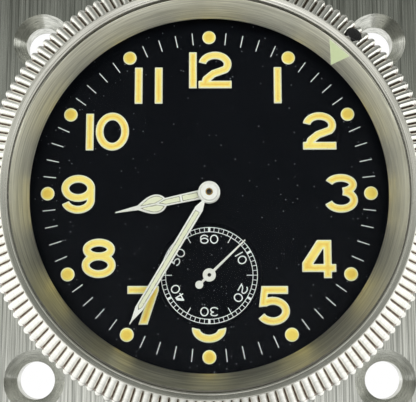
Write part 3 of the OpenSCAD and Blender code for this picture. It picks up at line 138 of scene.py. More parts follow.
def sheet_of(grid: Array, wrap_u: bool = False, wrap_v: bool = False, depth: Optional[Array] = None) -> Shell:
    """A surface through a grid of points: each face joins four neighbours on the grid.

    Args:
        grid: (u, v, 3) points.
        wrap_u: The last row joins the first.
        wrap_v: The last column joins the first.
        depth: (u, v) values that paints read as an attribute.
    """
    index = np.arange(grid.shape[0] * grid.shape[1]).reshape(grid.shape[:2])
    if wrap_u:
        index = np.vstack([index, index[:1]])
    if wrap_v:
        index = np.hstack([index, index[:, :1]])
    faces = np.stack([index[:-1, :-1], index[1:, :-1], index[1:, 1:], index[:-1, 1:]], -1)
    depth = None if depth is None else depth.ravel()
    return welded(grid.reshape(-1, 3), faces.reshape(-1, 4), depth)


def softened(profile: list[Pair], radius: float, closed: bool = True, steps: int = 4) -> Array:
    """A profile with round corners: each becomes the parabola that leaves one side and joins the next.

    Args:
        profile: Corners as (radius from the axis, height).
        radius: Where the rounding starts, from the corner along each side.
        closed: The last corner joins the first.
        steps: Pieces in each rounding.
    """
    p = np.array(profile, float)
    before, after = np.roll(p, 1, 0) - p, np.roll(p, -1, 0) - p
    size_b, size_a = np.linalg.norm(before, axis=1), np.linalg.norm(after, axis=1)
    cut_b, cut_a = np.minimum(radius, size_b * 0.45), np.minimum(radius, size_a * 0.45)
    start = p + before * (cut_b / size_b)[:, None]
    end = p + after * (cut_a / size_a)[:, None]
    t = np.linspace(0, 1, steps + 1)[None, :, None]
    curve = (1 - t) ** 2 * start[:, None] + 2 * t * (1 - t) * p[:, None] + t**2 * end[:, None]
    if closed:
        return curve.reshape(-1, 2)
    return np.vstack([p[:1], curve[1:-1].reshape(-1, 2), p[-1:]])


def turned_profile(profile: Array, steps: int = 256, closed: bool = True) -> Shell:
    """A profile turned about the z axis: x = r sin a, y = r cos a, z = height.

    Args:
        profile: (k, 2) radius and height.
        steps: Angles in the full turn.
        closed: The profile is a loop; otherwise both its ends lie on the axis.
    """
    a = np.linspace(0, 2 * math.pi, steps, endpoint=False)[:, None]
    r, z = profile[:, 0][None], profile[:, 1][None]
    grid = np.stack([r * np.sin(a), r * np.cos(a), z + 0 * a], -1)
    return sheet_of(grid, wrap_u=True, wrap_v=closed)


# Outlines as signed distances, negative inside


def line_field(path: Array, width: float, closed: bool = False) -> Field:
    """A brush stroke along a path: distance to the nearest piece of the path less half the width.

    Open ends are cut square: past an end, the distance along the path counts instead.
    """
    loop = np.vstack([path, path[:1]]) if closed else np.asarray(path, float)
    a, span = loop[:-1], np.diff(loop, axis=0)
    size = np.linalg.norm(span, axis=1)
    walked = np.concatenate([[0], np.cumsum(size)])

    def measure(p: Array) -> Array:
        """The signed distance of each point."""
        rel = p[:, None] - a[None]
        t = np.einsum("ijk,jk->ij", rel, span) / size**2
        held = np.clip(t, 0, 1)
        gap = np.linalg.norm(rel - held[..., None] * span, axis=2)
        k = gap.argmin(1)
        row = np.arange(len(p))
        if closed:
            return gap[row, k] - width / 2
        free = t[row, k]
        free = np.where((k == 0) & (free < 0) | (k == len(a) - 1) & (free > 1), free, held[row, k])
        side = np.linalg.norm(rel[row, k] - free[:, None] * span[k], axis=1)
        along = walked[k] + free * size[k]
        return np.maximum(side - width / 2, np.maximum(-along, along - walked[-1]))

    return measure


def shape_field(corners: list[Pair] | Array) -> Field:
    """A polygon: distance to its nearest side, negative where a ray crosses its sides an odd number of times.

    Args:
        corners: Its corners in order round it.
    """
    a = np.array(corners, float)
    b = np.roll(a, -1, 0)
    span = b - a
    size = (span**2).sum(1)

    def measure(p: Array) -> Array:
        """The signed distance of each point."""
        rel = p[:, None] - a[None]
        t = np.clip(np.einsum("ijk,jk->ij", rel, span) / size, 0, 1)
        gap = np.linalg.norm(rel - t[..., None] * span, axis=2).min(1)
        y = p[:, 1:]
        crosses = (a[:, 1] <= y) != (b[:, 1] <= y)
        rise = np.where(span[:, 1] == 0, 1e-12, span[:, 1])
        left = p[:, :1] < a[:, 0] + (y - a[:, 1]) * span[:, 0] / rise
        return np.where((crosses & left).sum(1) % 2, -gap, gap)

    return measure


def mirrored(side: list[Pair]) -> Field:
    """A polygon that is the same left and right.

    Args:
        side: Corners of its right side, from the bottom up.
    """
    return shape_field(side + [(-x, y) for x, y in reversed(side) if x])


def disc_field(x: float, y: float, r: float) -> Field:
    """A disc: distance to its centre less its radius."""
    return lambda p: np.hypot(p[:, 0] - x, p[:, 1] - y) - r


def union(*fields: Field) -> Field:
    """What lies in any of the outlines: the least of their distances."""
    return lambda p: np.minimum.reduce([f(p) for f in fields])


def cut(body: Field, *holes: Field) -> Field:
    """What lies in the body and in no hole: the greatest of its distance and theirs turned round."""
    return lambda p: np.maximum.reduce([body(p)] + [-f(p) for f in holes])


def grown(body: Field, by: float) -> Field:
    """The outline moved outwards by a distance, or inwards where it is negative."""
    return lambda p: body(p) - by


# Each case of inside corners gives its polygons; 0 to 3 are corners, 4 to 7 the crossings of the sides
CELL_CASES = {
    1: [(0, 4, 7)], 2: [(1, 5, 4)], 3: [(0, 1, 5, 7)], 4: [(2, 6, 5)], 5: [(0, 4, 7), (2, 6, 5)],
    6: [(1, 2, 6, 4)], 7: [(0, 1, 2, 6), (0, 6, 7)], 8: [(3, 7, 6)], 9: [(0, 4, 6, 3)],
    10: [(1, 5, 4), (3, 7, 6)], 11: [(0, 1, 5, 6), (0, 6, 3)], 12: [(2, 3, 7, 5)],
    13: [(0, 4, 5, 2), (0, 2, 3)], 14: [(1, 2, 3, 7), (1, 7, 4)], 15: [(0, 1, 2, 3)],
}


@dataclass(frozen=True)
class Relief:
    """A flat outline raised to a soft-edged slab.

    The outline is where a signed distance crosses zero on a square grid (marching squares). The top
    falls away over the edge width as a quarter circle: z = top - edge (1 - sqrt(1 - (1 - depth / edge)^2)).

    Args:
        floor: Height of the underside in mm.
        top: Height of the top in mm.
        edge: Width and drop of the soft edge in mm.
        step: Grid spacing in mm.
        wrap: Length in x after which the outline joins itself, or 0.
    """

    floor: float
    top: float
    edge: float
    step: float = 0.06
    wrap: float = 0.0

    def shell(self, body: Field, low: Pair, high: Pair) -> Shell:
        """The slab of an outline that lies between the corners low and high."""
        h = self.step
        nx = max(2, math.ceil((high[0] - low[0]) / h) + (0 if self.wrap else 1))
        ny = max(2, math.ceil((high[1] - low[1]) / h) + 1)
        hx = self.wrap / nx if self.wrap else h
        x, y = low[0] + hx * np.arange(nx), low[1] + h * np.arange(ny)
        grid = np.stack(np.meshgrid(x, y, indexing="ij"), -1)
        s = body(grid.reshape(-1, 2)).reshape(nx, ny)
        s = np.where(np.abs(s) < 1e-5, -1e-5, s)
        right = np.roll(s, -1, 0)
        count = nx * ny
        number = np.arange(count).reshape(nx, ny)
        with np.errstate(divide="ignore", invalid="ignore"):
            share_x = np.clip(np.nan_to_num(s / (s - right)), 0, 1)
            share_y = np.zeros_like(s)
            share_y[:, :-1] = np.clip(np.nan_to_num(s[:, :-1] / (s[:, :-1] - s[:, 1:])), 0, 1)
        flat = np.concatenate([
            grid.reshape(-1, 2),
            (grid + share_x[..., None] * [hx, 0]).reshape(-1, 2),
            (grid + share_y[..., None] * [0, h]).reshape(-1, 2),
        ])
        depth = np.concatenate([-s.ravel(), np.zeros(2 * count)])
        east = np.roll(number, -1, 0)
        span = slice(None) if self.wrap else slice(0, nx - 1)
        here, over = number[span, :-1].ravel(), east[span, :-1].ravel()
        sides = [here + count, over + 2 * count, here + 1 + count, here + 2 * count]
        corner = np.stack([here, over, over + 1, here + 1] + sides, 1)
        inside = (s.ravel() < 0)[corner[:, :4]]
        case = inside @ np.array([1, 2, 4, 8])
        parts = []
        for code, polygons in CELL_CASES.items():
            cells = corner[case == code]
            for polygon in polygons:
                face = cells[:, list(polygon)]
                parts.append(face if len(polygon) == 4 else np.hstack([face, np.full((len(face), 1), -1)]))
        faces = np.vstack(parts)
        return self._closed(flat, depth, faces)

    def _closed(self, flat: Array, depth: Array, faces: Array) -> Shell:
        """Adds the underside and the wall round the outline."""
        used, where = np.unique(faces[faces >= 0], return_inverse=True)
        faces = faces.copy()
        faces[faces >= 0] = where
        flat, depth = flat[used], np.maximum(depth[used], 0)
        share = np.clip(depth / self.edge, 0, 1)
        height = self.top - self.edge * (1 - np.sqrt(np.clip(1 - (1 - share) ** 2, 0, 1)))
        n = len(flat)
        points = np.vstack([np.column_stack([flat, height]), np.column_stack([flat, np.full(n, self.floor)])])
        under = np.where(faces[:, 3:] >= 0, faces[:, ::-1], np.hstack([faces[:, 2::-1], faces[:, 3:]]))
        under = np.where(under >= 0, under + n, -1)
        sides = np.vstack([
            faces[:, [0, 1]], faces[:, [1, 2]], faces[faces[:, 3] >= 0][:, [2, 3]],
            np.column_stack([np.where(faces[:, 3] >= 0, faces[:, 3], faces[:, 2]), faces[:, 0]]),
        ])
        _, first, times = np.unique(np.sort(sides, 1), axis=0, return_index=True, return_counts=True)
        rim = sides[first[times == 1]]
        wall = np.column_stack([rim[:, 1], rim[:, 0], rim[:, 0] + n, rim[:, 1] + n])
        return Shell(points, np.vstack([faces, under, wall]), np.concatenate([depth, np.full(n, 0.0)]))


def fill_mesh(name: str, shell: Shell, crease: float) -> bpy.types.Object:
    """Puts a shell into a new mesh object at the origin.

    Args:
        name: The object's name.
        shell: What to fill it with.
        crease: Angle in degrees past which an edge stays sharp.

    Returns:
        The new object.
    """
    points, faces = shell.placed(), shell.faces
    corners = np.where(faces[:, 3] >= 0, 4, 3)
    mesh = bpy.data.meshes.new(name)
    mesh.vertices.add(len(points))
    mesh.vertices.foreach_set("co", points.astype(np.float32).ravel())
    flat = faces[faces >= 0]
    mesh.loops.add(len(flat))
    mesh.loops.foreach_set("vertex_index", flat.astype(np.int32))
    mesh.polygons.add(len(faces))
    starts = np.concatenate([[0], np.cumsum(corners)[:-1]])
    mesh.polygons.foreach_set("loop_start", starts.astype(np.int32))
    mesh.polygons.foreach_set("loop_total", corners.astype(np.int32))
    mesh.update(calc_edges=True)
    mesh.validate()
    mesh.polygons.foreach_set("use_smooth", np.ones(len(mesh.polygons), bool))
    mesh.set_sharp_from_angle(angle=math.radians(crease))
    if shell.depth is not None:
        inset = mesh.attributes.new("depth", "FLOAT", "POINT")
        inset.data.foreach_set("value", shell.depth.astype(np.float32))
    piece = bpy.data.objects.new(name, mesh)
    bpy.context.scene.collection.objects.link(piece)
    return piece


# Shader nodes


def linear(colour: Colour) -> tuple[float, float, float, float]:
    """An sRGB colour of 0 to 255 as the linear colour that a socket takes."""
    c = np.array(colour) / 255
    c = np.where(c <= 0.04045, c / 12.92, ((c + 0.055) / 1.055) ** 2.4)
    return (*map(float, c), 1.0)


@dataclass(frozen=True)
class Graph:
    """Adds nodes to one tree and links them; a value may be a number, a colour or another node's socket.

    Args:
        tree: The tree that it adds to.
    """

    tree: Tree

    def node(self, kind: str, **settings: object) -> bpy.types.Node:
        """A new node with its settings."""
        made = self.tree.nodes.new(kind)
        for key, value in settings.items():
            setattr(made, key, value)
        return made

    def feed(self, socket: Socket, value: Value) -> None:
        """Links a socket's value, or sets it."""
        if isinstance(value, Socket):
            self.tree.links.new(value, socket)
        else:
            socket.default_value = value

    def math(self, operation: str, *values: Value) -> Socket:
        """A Math node."""
        made = self.node("ShaderNodeMath", operation=operation)
        for socket, value in zip(made.inputs, values):
            self.feed(socket, value)
        return made.outputs[0]

    def plus(self, first: Value, second: Value) -> Socket:
        """The sum of two values."""
        return self.math("ADD", first, second)

    def times(self, first: Value, second: Value) -> Socket:
        """The product of two values."""
        return self.math("MULTIPLY", first, second)

    def most(self, first: Value, second: Value) -> Socket:
        """The greater of two values."""
        return self.math("MAXIMUM", first, second)

    def radius(self, first: Socket, second: Socket) -> Socket:
        """The length that two lengths at right angles span."""
        return self.math("SQRT", self.plus(self.times(first, first), self.times(second, second)))

    def fit(self, value: Value, low: float, high: float, to_low: float = 0.0, to_high: float = 1.0) -> Socket:
        """Maps low..high smoothly to to_low..to_high."""
        made = self.node("ShaderNodeMapRange", interpolation_type="SMOOTHSTEP")
        inputs = {"Value": value, "From Min": low, "From Max": high, "To Min": to_low, "To Max": to_high}
        for key, item in inputs.items():
            self.feed(made.inputs[key], item)
        return made.outputs[0]

    def blend(self, share: Value, first: Socket | Colour, second: Socket | Colour) -> Socket:
        """A colour mix; tuples of 0 to 255 are sRGB."""
        made = self.node("ShaderNodeMix", data_type="RGBA")
        self.feed(made.inputs[0], share)
        self.feed(made.inputs[6], linear(first) if isinstance(first, tuple) else first)
        self.feed(made.inputs[7], linear(second) if isinstance(second, tuple) else second)
        return made.outputs[2]

    def mix(self, share: Value, first: Value, second: Value) -> Socket:
        """A mix of two values."""
        made = self.node("ShaderNodeMix", data_type="FLOAT")
        for k, value in ((0, share), (2, first), (3, second)):
            self.feed(made.inputs[k], value)
        return made.outputs[0]

    def cover(self, share: Value, first: Socket, second: Socket) -> Socket:
        """A mix of two shaders."""
        made = self.node("ShaderNodeMixShader")
        for socket, value in zip(made.inputs, (share, first, second)):
            self.feed(socket, value)
        return made.outputs[0]

    def rays(self, *kinds: str) -> Socket:
        """1 on rays of these kinds, such as Camera or Glossy, and 0 on others."""
        path = self.node("ShaderNodeLightPath")
        return reduce(self.most, [path.outputs[f"Is {kind} Ray"] for kind in kinds])

    def inset(self) -> Socket:
        """The depth that a shell gives its points, in mm."""
        return self.node("ShaderNodeAttribute", attribute_name="depth").outputs["Fac"]

    def ramp(self, value: Value, *stops: tuple[float, Colour]) -> Socket:
        """A colour ramp through sRGB stops."""
        made = self.node("ShaderNodeValToRGB")
        keys = made.color_ramp.elements
        while len(keys) < len(stops):
            keys.new(1.0)
        for key, (place, colour) in zip(keys, stops):
            key.position = place
            key.color = linear(colour)
        self.feed(made.inputs[0], value)
        return made.outputs[0]

    def noise(self, vector: Value, scale: Value, detail: float = 2.0, roughness: float = 0.5) -> Socket:
        """A Noise Texture's value."""
        made = self.node("ShaderNodeTexNoise")
        self.feed(made.inputs["Vector"], vector)
        self.feed(made.inputs["Scale"], scale)
        self.feed(made.inputs["Detail"], detail)
        self.feed(made.inputs["Roughness"], roughness)
        return made.outputs[0]

    def parts(self, vector: Value) -> list[Socket]:
        """The x, y and z of a vector."""
        made = self.node("ShaderNodeSeparateXYZ")
        self.feed(made.inputs[0], vector)
        return list(made.outputs)

    def vector(self, x: Value, y: Value, z: Value) -> Socket:
        """A vector of three values."""
        made = self.node("ShaderNodeCombineXYZ")
        for socket, value in zip(made.inputs, (x, y, z)):
            self.feed(socket, value)
        return made.outputs[0]

    def place(self, shift: tuple[float, float, float] = (0.0, 0.0, 0.0)) -> Socket:
        """Object coordinates, shifted."""
        made = self.node("ShaderNodeMapping")
        self.feed(made.inputs["Vector"], self.node("ShaderNodeTexCoord").outputs["Object"])
        self.feed(made.inputs["Location"], shift)
        return made.outputs[0]

    def use(self, group: Tree, **values: Value) -> list[Socket]:
        """A node group's outputs, with its named inputs fed."""
        made = self.node("ShaderNodeGroup", node_tree=group)
        for key, value in values.items():
            self.feed(made.inputs[key], value)
        return list(made.outputs)

    def across(self, x: Value, y: Value, z: Value) -> Socket:
        """A direction given on the object's own axes, turned with the object."""
        frames = {"convert_from": "OBJECT", "convert_to": "WORLD"}
        made = self.node("ShaderNodeVectorTransform", vector_type="VECTOR", **frames)
        self.feed(made.inputs[0], self.vector(x, y, z))
        return made.outputs[0]

    def bump(self, height: Value, depth_mm: float) -> Socket:
        """A Bump node whose full height is depth_mm."""
        made = self.node("ShaderNodeBump")
        self.feed(made.inputs["Height"], height)
        self.feed(made.inputs["Distance"], depth_mm * MM)
        return made.outputs[0]


Sockets = dict[str, Socket]
Wiring = Callable[[Graph, Sockets], tuple[Socket, ...]]


class Effects:
    """Node groups that several finishes share, each made once.

    Args:
        lean: How much of the height is added to the radius in turned marks, so that they also show on slopes.
        turned_broad: Width of a turned mark over that of a broad one.
        brushed_broad: The same for brushed marks.
        bulge: Pointiness at which edge wear starts, and at which it is full.
        flat_dust: Factor on y in dust; under 1 it draws the cells out along that axis.
    """

    lean: ClassVar[float] = -0.6
    turned_broad: ClassVar[float] = 0.18
    brushed_broad: ClassVar[float] = 0.2
    bulge: ClassVar[Pair] = (0.55, 0.65)
    flat_dust: ClassVar[float] = 0.02
    made: ClassVar[dict[str, Tree]] = {}

    @classmethod
    def group(
        cls, name: str, inputs: dict[str, Optional[float]], outputs: tuple[str, ...], wire: Wiring,
    ) -> Tree:
        """A node group.

        Args:
            name: The group's name.
            inputs: Default of each input; None makes a vector.
            outputs: Names of its float outputs.
            wire: Gets a Graph and the inputs' sockets by name, and returns the outputs' values.

        Returns:
            The group, made the first time and kept.
        """
        if name in cls.made:
            return cls.made[name]
        tree = bpy.data.node_groups.new(name, "ShaderNodeTree")
        for key, value in inputs.items():
            kind = "NodeSocketVector" if value is None else "NodeSocketFloat"
            socket = tree.interface.new_socket(name=key, in_out="INPUT", socket_type=kind)
            if value is not None:
                socket.default_value = value
        for key in outputs:
            tree.interface.new_socket(name=key, in_out="OUTPUT", socket_type="NodeSocketFloat")
        graph = Graph(tree)
        source, sink = graph.node("NodeGroupInput"), graph.node("NodeGroupOutput")
        values = wire(graph, {key: source.outputs[key] for key in inputs})
        for key, value in zip(outputs, values):
            graph.feed(sink.inputs[key], value)
        cls.made[name] = tree
        return tree

    @classmethod
    def turning(cls) -> Tree:
        """Marks of a lathe round the y axis: noise over the distance from it, drawn out along the turn."""

        def wire(g: Graph, i: Sockets) -> tuple[Socket, ...]:
            """Noise at (fineness (r + lean y), breaks cos a, breaks sin a), whose last two hardly change."""
            x, y, z = g.parts(i["Place"])
            r = g.radius(x, z)
            across = g.times(g.plus(r, g.times(y, cls.lean)), i["Fineness"])
            safe = g.most(r, 1e-5)
            cosine = g.times(g.math("DIVIDE", x, safe), i["Breaks"])
            sine = g.times(g.math("DIVIDE", z, safe), i["Breaks"])
            fine = g.noise(g.vector(across, cosine, sine), 1.0, detail=3.0, roughness=0.65)
            broad = g.noise(g.vector(g.times(across, cls.turned_broad), cosine, sine), 1.0)
            return fine, broad

        inputs = {"Place": None, "Fineness": 9000.0, "Breaks": 2.5}
        return cls.group("turning_marks", inputs, ("Fine", "Broad"), wire)

    @classmethod
    def brushing(cls) -> Tree:
        """Straight brush marks along the z axis: noise squeezed across them and drawn out along them."""

        def wire(g: Graph, i: Sockets) -> tuple[Socket, ...]:
            """Noise at (fineness x, fineness y, z / length)."""
            x, y, z = g.parts(i["Place"])
            along = g.math("DIVIDE", z, i["Length"])
            spot = g.vector(g.times(x, i["Fineness"]), g.times(y, i["Fineness"]), along)
            wide = g.vector(g.times(x, g.times(i["Fineness"], cls.brushed_broad)), 0.0, along)
            return g.noise(spot, 1.0, detail=3.0, roughness=0.7), g.noise(wide, 1.0)

        inputs = {"Place": None, "Fineness": 9000.0, "Length": 0.015}
        return cls.group("brush_marks", inputs, ("Fine", "Broad"), wire)

    @classmethod
    def handling(cls) -> Tree:
        """Clouds left by handling: two octaves of broad noise, and a finer one for smears."""

        def wire(g: Graph, i: Sockets) -> tuple[Socket, ...]:
            """Noise at the place over the clouds' size."""
            cloud = g.noise(i["Place"], i["Scale"])
            return cloud, g.noise(i["Place"], g.times(i["Scale"], 7.0), detail=3.0, roughness=0.6)

        return cls.group("handling_clouds", {"Place": None, "Scale": 90.0}, ("Cloud", "Smear"), wire)

    @classmethod
    def specks(cls) -> Tree:
        """Dust: spots in some of the cells of a Voronoi texture, each of its own size."""

        def wire(g: Graph, i: Sockets) -> tuple[Socket, ...]:
            """The cell's brightness in a spot that grows with it, in cells whose chance is under Share."""
            cell = g.node("ShaderNodeTexVoronoi", feature="F1")
            x, y, z = g.parts(i["Place"])
            g.feed(cell.inputs["Vector"], g.vector(x, g.times(y, cls.flat_dust), z))
            g.feed(cell.inputs["Scale"], i["Scale"])
            chance, bright, _ = g.parts(cell.outputs["Color"])
            reach = g.times(i["Size"], g.plus(bright, 0.3))
            near = g.math("LESS_THAN", cell.outputs["Distance"], reach)
            kept = g.math("LESS_THAN", chance, i["Share"])
            return (g.times(g.times(near, kept), bright),)

        inputs = {"Place": None, "Scale": 2500.0, "Size": 0.2, "Share": 0.1}
        return cls.group("dust_specks", inputs, ("Mask",), wire)

    @classmethod
    def grain(cls) -> Tree:
        """Fine even grain of paint, rubber or frosted metal."""

        def wire(g: Graph, i: Sockets) -> tuple[Socket, ...]:
            """Noise of the grain's own size, with its contrast raised."""
            return (g.fit(g.noise(i["Place"], i["Scale"], roughness=0.6), 0.3, 0.7),)

        return cls.group("fine_grain", {"Place": None, "Scale": 9000.0}, ("Height",), wire)

    @classmethod
    def wear(cls) -> Tree:
        """Edge wear: high where the surface bulges, broken up by noise."""

        def wire(g: Graph, i: Sockets) -> tuple[Socket, ...]:
            """Pointiness past a threshold, times noise."""
            bulge = g.fit(g.node("ShaderNodeNewGeometry").outputs["Pointiness"], *cls.bulge)
            return (g.times(bulge, g.fit(g.noise(i["Place"], i["Scale"]), 0.35, 0.6)),)

        return cls.group("edge_wear", {"Place": None, "Scale": 700.0}, ("Mask",), wire)


# Finishes


class Marks(Enum):
    """How a metal was finished."""

    TURNED = "turned"
    TURNED_ABOUT_STEM = "turned about the stem"
    BRUSHED = "brushed upright"
    FROSTED = "frosted"


@dataclass(frozen=True)
class Finish:
    """What a surface is made of. A finish makes its material once.

    Args:
        name: The material's name.
    """

    name: str
    made: ClassVar[dict[str, bpy.types.Material]] = {}

    def material(self) -> bpy.types.Material:
        """The finish's material."""
        if self.name not in Finish.made:
            made = bpy.data.materials.new(self.name)
            made.use_nodes = True
            made.node_tree.nodes.clear()
            graph = Graph(made.node_tree)
            shader = graph.node("ShaderNodeBsdfPrincipled")
            output = graph.node("ShaderNodeOutputMaterial")
            graph.feed(output.inputs["Surface"], self.wire(graph, shader))
            Finish.made[self.name] = made
        return Finish.made[self.name]

    def wire(self, g: Graph, shader: bpy.types.Node) -> Socket:
        """Feeds the shader.

        Args:
            g: Adds nodes to the material.
            shader: Its Principled BSDF.

        Returns:
            What the surface shows.
        """
        raise NotImplementedError


@dataclass(frozen=True)
class Steel(Finish):
    """Worked metal: its marks vary colour and roughness and give a bump, and its edges are worn bright.

    Args:
        tone: Colour of the metal, sRGB.
        marks: How it was finished.
        roughness: Of the bare metal.
        fineness: Marks per metre.
        bump_mm: Height of the marks.
        contrast: How far the marks change the tone, 0 to 1.
        wear: Share of edge wear.
        anisotropic: How far reflections are drawn out across the marks, 0 to 1.
        shade: Colour of the metal in its marks, sRGB.
        broad: Strength of the broad marks as a share of the fine ones.
        worn_tone: Colour of a worn edge, sRGB.
        polish: How much smoother a worn edge is.
        stain: How far clouds of handling shade the metal.
        smear: How much rougher a smear is.
    """

    tone: Colour = (196, 196, 190)
    marks: Marks = Marks.TURNED
    roughness: float = 0.3
    fineness: float = 9000.0
    bump_mm: float = 0.002
    contrast: float = 0.25
    wear: float = 0.3
    anisotropic: float = 0.0
    shade: Colour = (120, 121, 112)
    broad: float = 0.6
    worn_tone: Colour = (232, 232, 228)
    polish: float = 0.08
    stain: float = 0.07
    smear: float = 0.025

    def worked(self, g: Graph) -> tuple[Socket, Socket, tuple[Value, Value, Value]]:
        """The fine marks, the broad ones, and the direction across them as x, y, z."""
        place = g.place()
        x, y, z = g.parts(place)
        if self.marks is Marks.BRUSHED:
            return *g.use(Effects.brushing(), Place=place, Fineness=self.fineness), (1.0, 0.0, 0.0)
        if self.marks is Marks.FROSTED:
            grain = g.use(Effects.grain(), Place=place, Scale=self.fineness)[0]
            return grain, g.noise(place, 400.0), (x, 0.0, z)
        if self.marks is Marks.TURNED_ABOUT_STEM:
            x, y, z = g.parts(g.place((0.0, (DIAL_HEIGHT - STEM_DROP) * MM, 0.0)))
            return *g.use(Effects.turning(), Place=g.vector(y, x, z), Fineness=self.fineness), (0.0, y, z)
        return *g.use(Effects.turning(), Place=place, Fineness=self.fineness), (x, 0.0, z)

    def colour(self, g: Graph, bare: Socket) -> Socket:
        """What lies on the bare metal's colour; plain steel has nothing."""
        return bare

    def wire(self, g: Graph, shader: bpy.types.Node) -> Socket:
        """Streaks and clouds mix tone and shade, smears roughen, and worn edges are lighter and smoother."""
        fine, broad, way = self.worked(g)
        cloud, smear = g.use(Effects.handling(), Place=g.place())
        worn = g.times(g.use(Effects.wear(), Place=g.place())[0], self.wear)
        streak = g.times(g.fit(fine, 0.3, 0.7), self.contrast)
        band = g.times(g.fit(broad, 0.35, 0.65), self.contrast * self.broad)
        stain = g.times(g.fit(cloud, 0.35, 0.75), self.stain)
        colour = g.blend(g.plus(g.plus(streak, band), stain), self.tone, self.shade)
        ground = g.fit(fine, 0.25, 0.75, self.roughness * 0.85, self.roughness * 1.2)
        rough = g.plus(ground, g.fit(smear, 0.4, 0.8, 0.0, self.smear))
        g.feed(shader.inputs["Base Color"], self.colour(g, g.blend(worn, colour, self.worn_tone)))
        g.feed(shader.inputs["Metallic"], 1.0)
        g.feed(shader.inputs["Roughness"], g.math("SUBTRACT", rough, g.times(worn, self.polish)))
        if self.anisotropic:
            g.feed(shader.inputs["Anisotropic"], self.anisotropic)
            g.feed(shader.inputs["Tangent"], g.across(*way))
        g.feed(shader.inputs["Normal"], g.bump(fine, self.bump_mm))
        return shader.outputs[0]


@dataclass(frozen=True)
class LobedSteel(Steel):
    """Polished lobes whose valleys are darkened by old polish and dirt, and by painted shade.

    Args:
        dirt_and_shade: Colour of the dirt and painted shade in the valleys, sRGB.
        from_mm: How far below the crests the dirt and painted shade start.
        full_mm: Where it covers the metal.
    """

    # Valleys darken with their depth below the crests: dirt, and painted shade
    dirt_and_shade: Colour = (128, 112, 100)
    from_mm: float = 0.22
    full_mm: float = 0.38

    def colour(self, g: Graph, bare: Socket) -> Socket:
        """The bare metal's colour, darkened with the depth below the crests: dirt and painted shade."""
        depth = g.inset()
        patchy = g.fit(g.use(Effects.handling(), Place=g.place(), Scale=400.0)[1], 0.3, 0.7, 0.75, 1.0)
        return g.blend(g.times(g.fit(depth, self.from_mm, self.full_mm), patchy), bare, self.dirt_and_shade)


@dataclass(frozen=True)
class PlateSteel(Steel):
    """Brushed steel whose four countersinks are turned, each about its own hole.

    Args:
        half_pitch: Distance of each hole from the plate's middle lines, in metres.
        sink_r: Radius of a countersink at the face, in metres.
        back_skin: Depth at the back face in which no hole has turned marks, in metres.
        ring_fineness: Turned marks per metre.
        ring_gain: Strength of the turned marks, and what is added to them.
    """

    half_pitch: float = 0.02125
    sink_r: float = 0.0037
    back_skin: float = 0.0003
    ring_fineness: float = 9000.0
    ring_gain: Pair = (0.9, -0.05)

    def worked(self, g: Graph) -> tuple[Socket, Socket, tuple[Value, Value, Value]]:
        """The brush marks, and turned marks where the nearest hole is closer than a countersink's radius."""
        fine, broad, _ = super().worked(g)
        x, y, z = g.parts(g.place())
        u = g.math("SUBTRACT", g.math("ABSOLUTE", x), self.half_pitch)
        w = g.math("SUBTRACT", g.math("ABSOLUTE", z), self.half_pitch)
        near = g.math("LESS_THAN", g.radius(u, w), self.sink_r)
        sunk = g.times(near, g.math("LESS_THAN", y, -self.back_skin))
        ring, wide = g.use(Effects.turning(), Place=g.vector(u, y, w), Fineness=self.ring_fineness)
        way_x = g.mix(sunk, 1.0, g.times(u, g.math("SIGN", x)))
        way_z = g.mix(sunk, 0.0, g.times(w, g.math("SIGN", z)))
        ring = g.math("MULTIPLY_ADD", ring, *self.ring_gain)
        return g.mix(sunk, fine, ring), g.mix(sunk, broad, wide), (way_x, 0.0, way_z)


@dataclass(frozen=True)
class Paint(Finish):
    """Matt or satin paint with fine grain, broad clouds and dust.

    Args:
        tone: Colour of the paint, sRGB.
        shade: Colour in its clouds, sRGB.
        roughness: Of the paint.
        grain_mm: Height of the grain.
        grain_scale: Grains per metre.
        dust: Share of cells that hold a speck.
        dust_tone: Colour of the specks, sRGB.
        dust_scale: Cells per metre.
        specular: Strength of the gloss; 0.5 is common paint.
        spread: How far the grain moves the roughness either way.
    """

    tone: Colour = (235, 235, 226)
    shade: Colour = (205, 206, 192)
    roughness: float = 0.5
    grain_mm: float = 0.004
    grain_scale: float = 6000.0
    dust: float = 0.05
    dust_tone: Colour = (160, 162, 158)
    dust_scale: float = 2600.0
    specular: float = 0.5
    spread: float = 0.07

    def base(self, g: Graph) -> Socket:
        """The paint's colour before dust."""
        cloud, smear = g.use(Effects.handling(), Place=g.place(), Scale=160.0)
        broad, fine = g.times(g.fit(cloud, 0.35, 0.7), 0.6), g.times(g.fit(smear, 0.4, 0.7), 0.4)
        return g.blend(g.plus(broad, fine), self.tone, self.shade)

    def wire(self, g: Graph, shader: bpy.types.Node) -> Socket:
        """Clouds mix tone and shade, dust lies on top, and grain moves roughness and height."""
        grain = g.use(Effects.grain(), Place=g.place(), Scale=self.grain_scale)[0]
        dust = g.use(Effects.specks(), Place=g.place(), Scale=self.dust_scale, Share=self.dust)[0]
        smooth, rough = self.roughness - self.spread, self.roughness + self.spread
        g.feed(shader.inputs["Base Color"], g.blend(dust, self.base(g), self.dust_tone))
        g.feed(shader.inputs["Roughness"], g.fit(grain, 0.0, 1.0, smooth, rough))
        g.feed(shader.inputs["Specular IOR Level"], self.specular)
        g.feed(shader.inputs["Normal"], g.bump(grain, self.grain_mm))
        return shader.outputs[0]


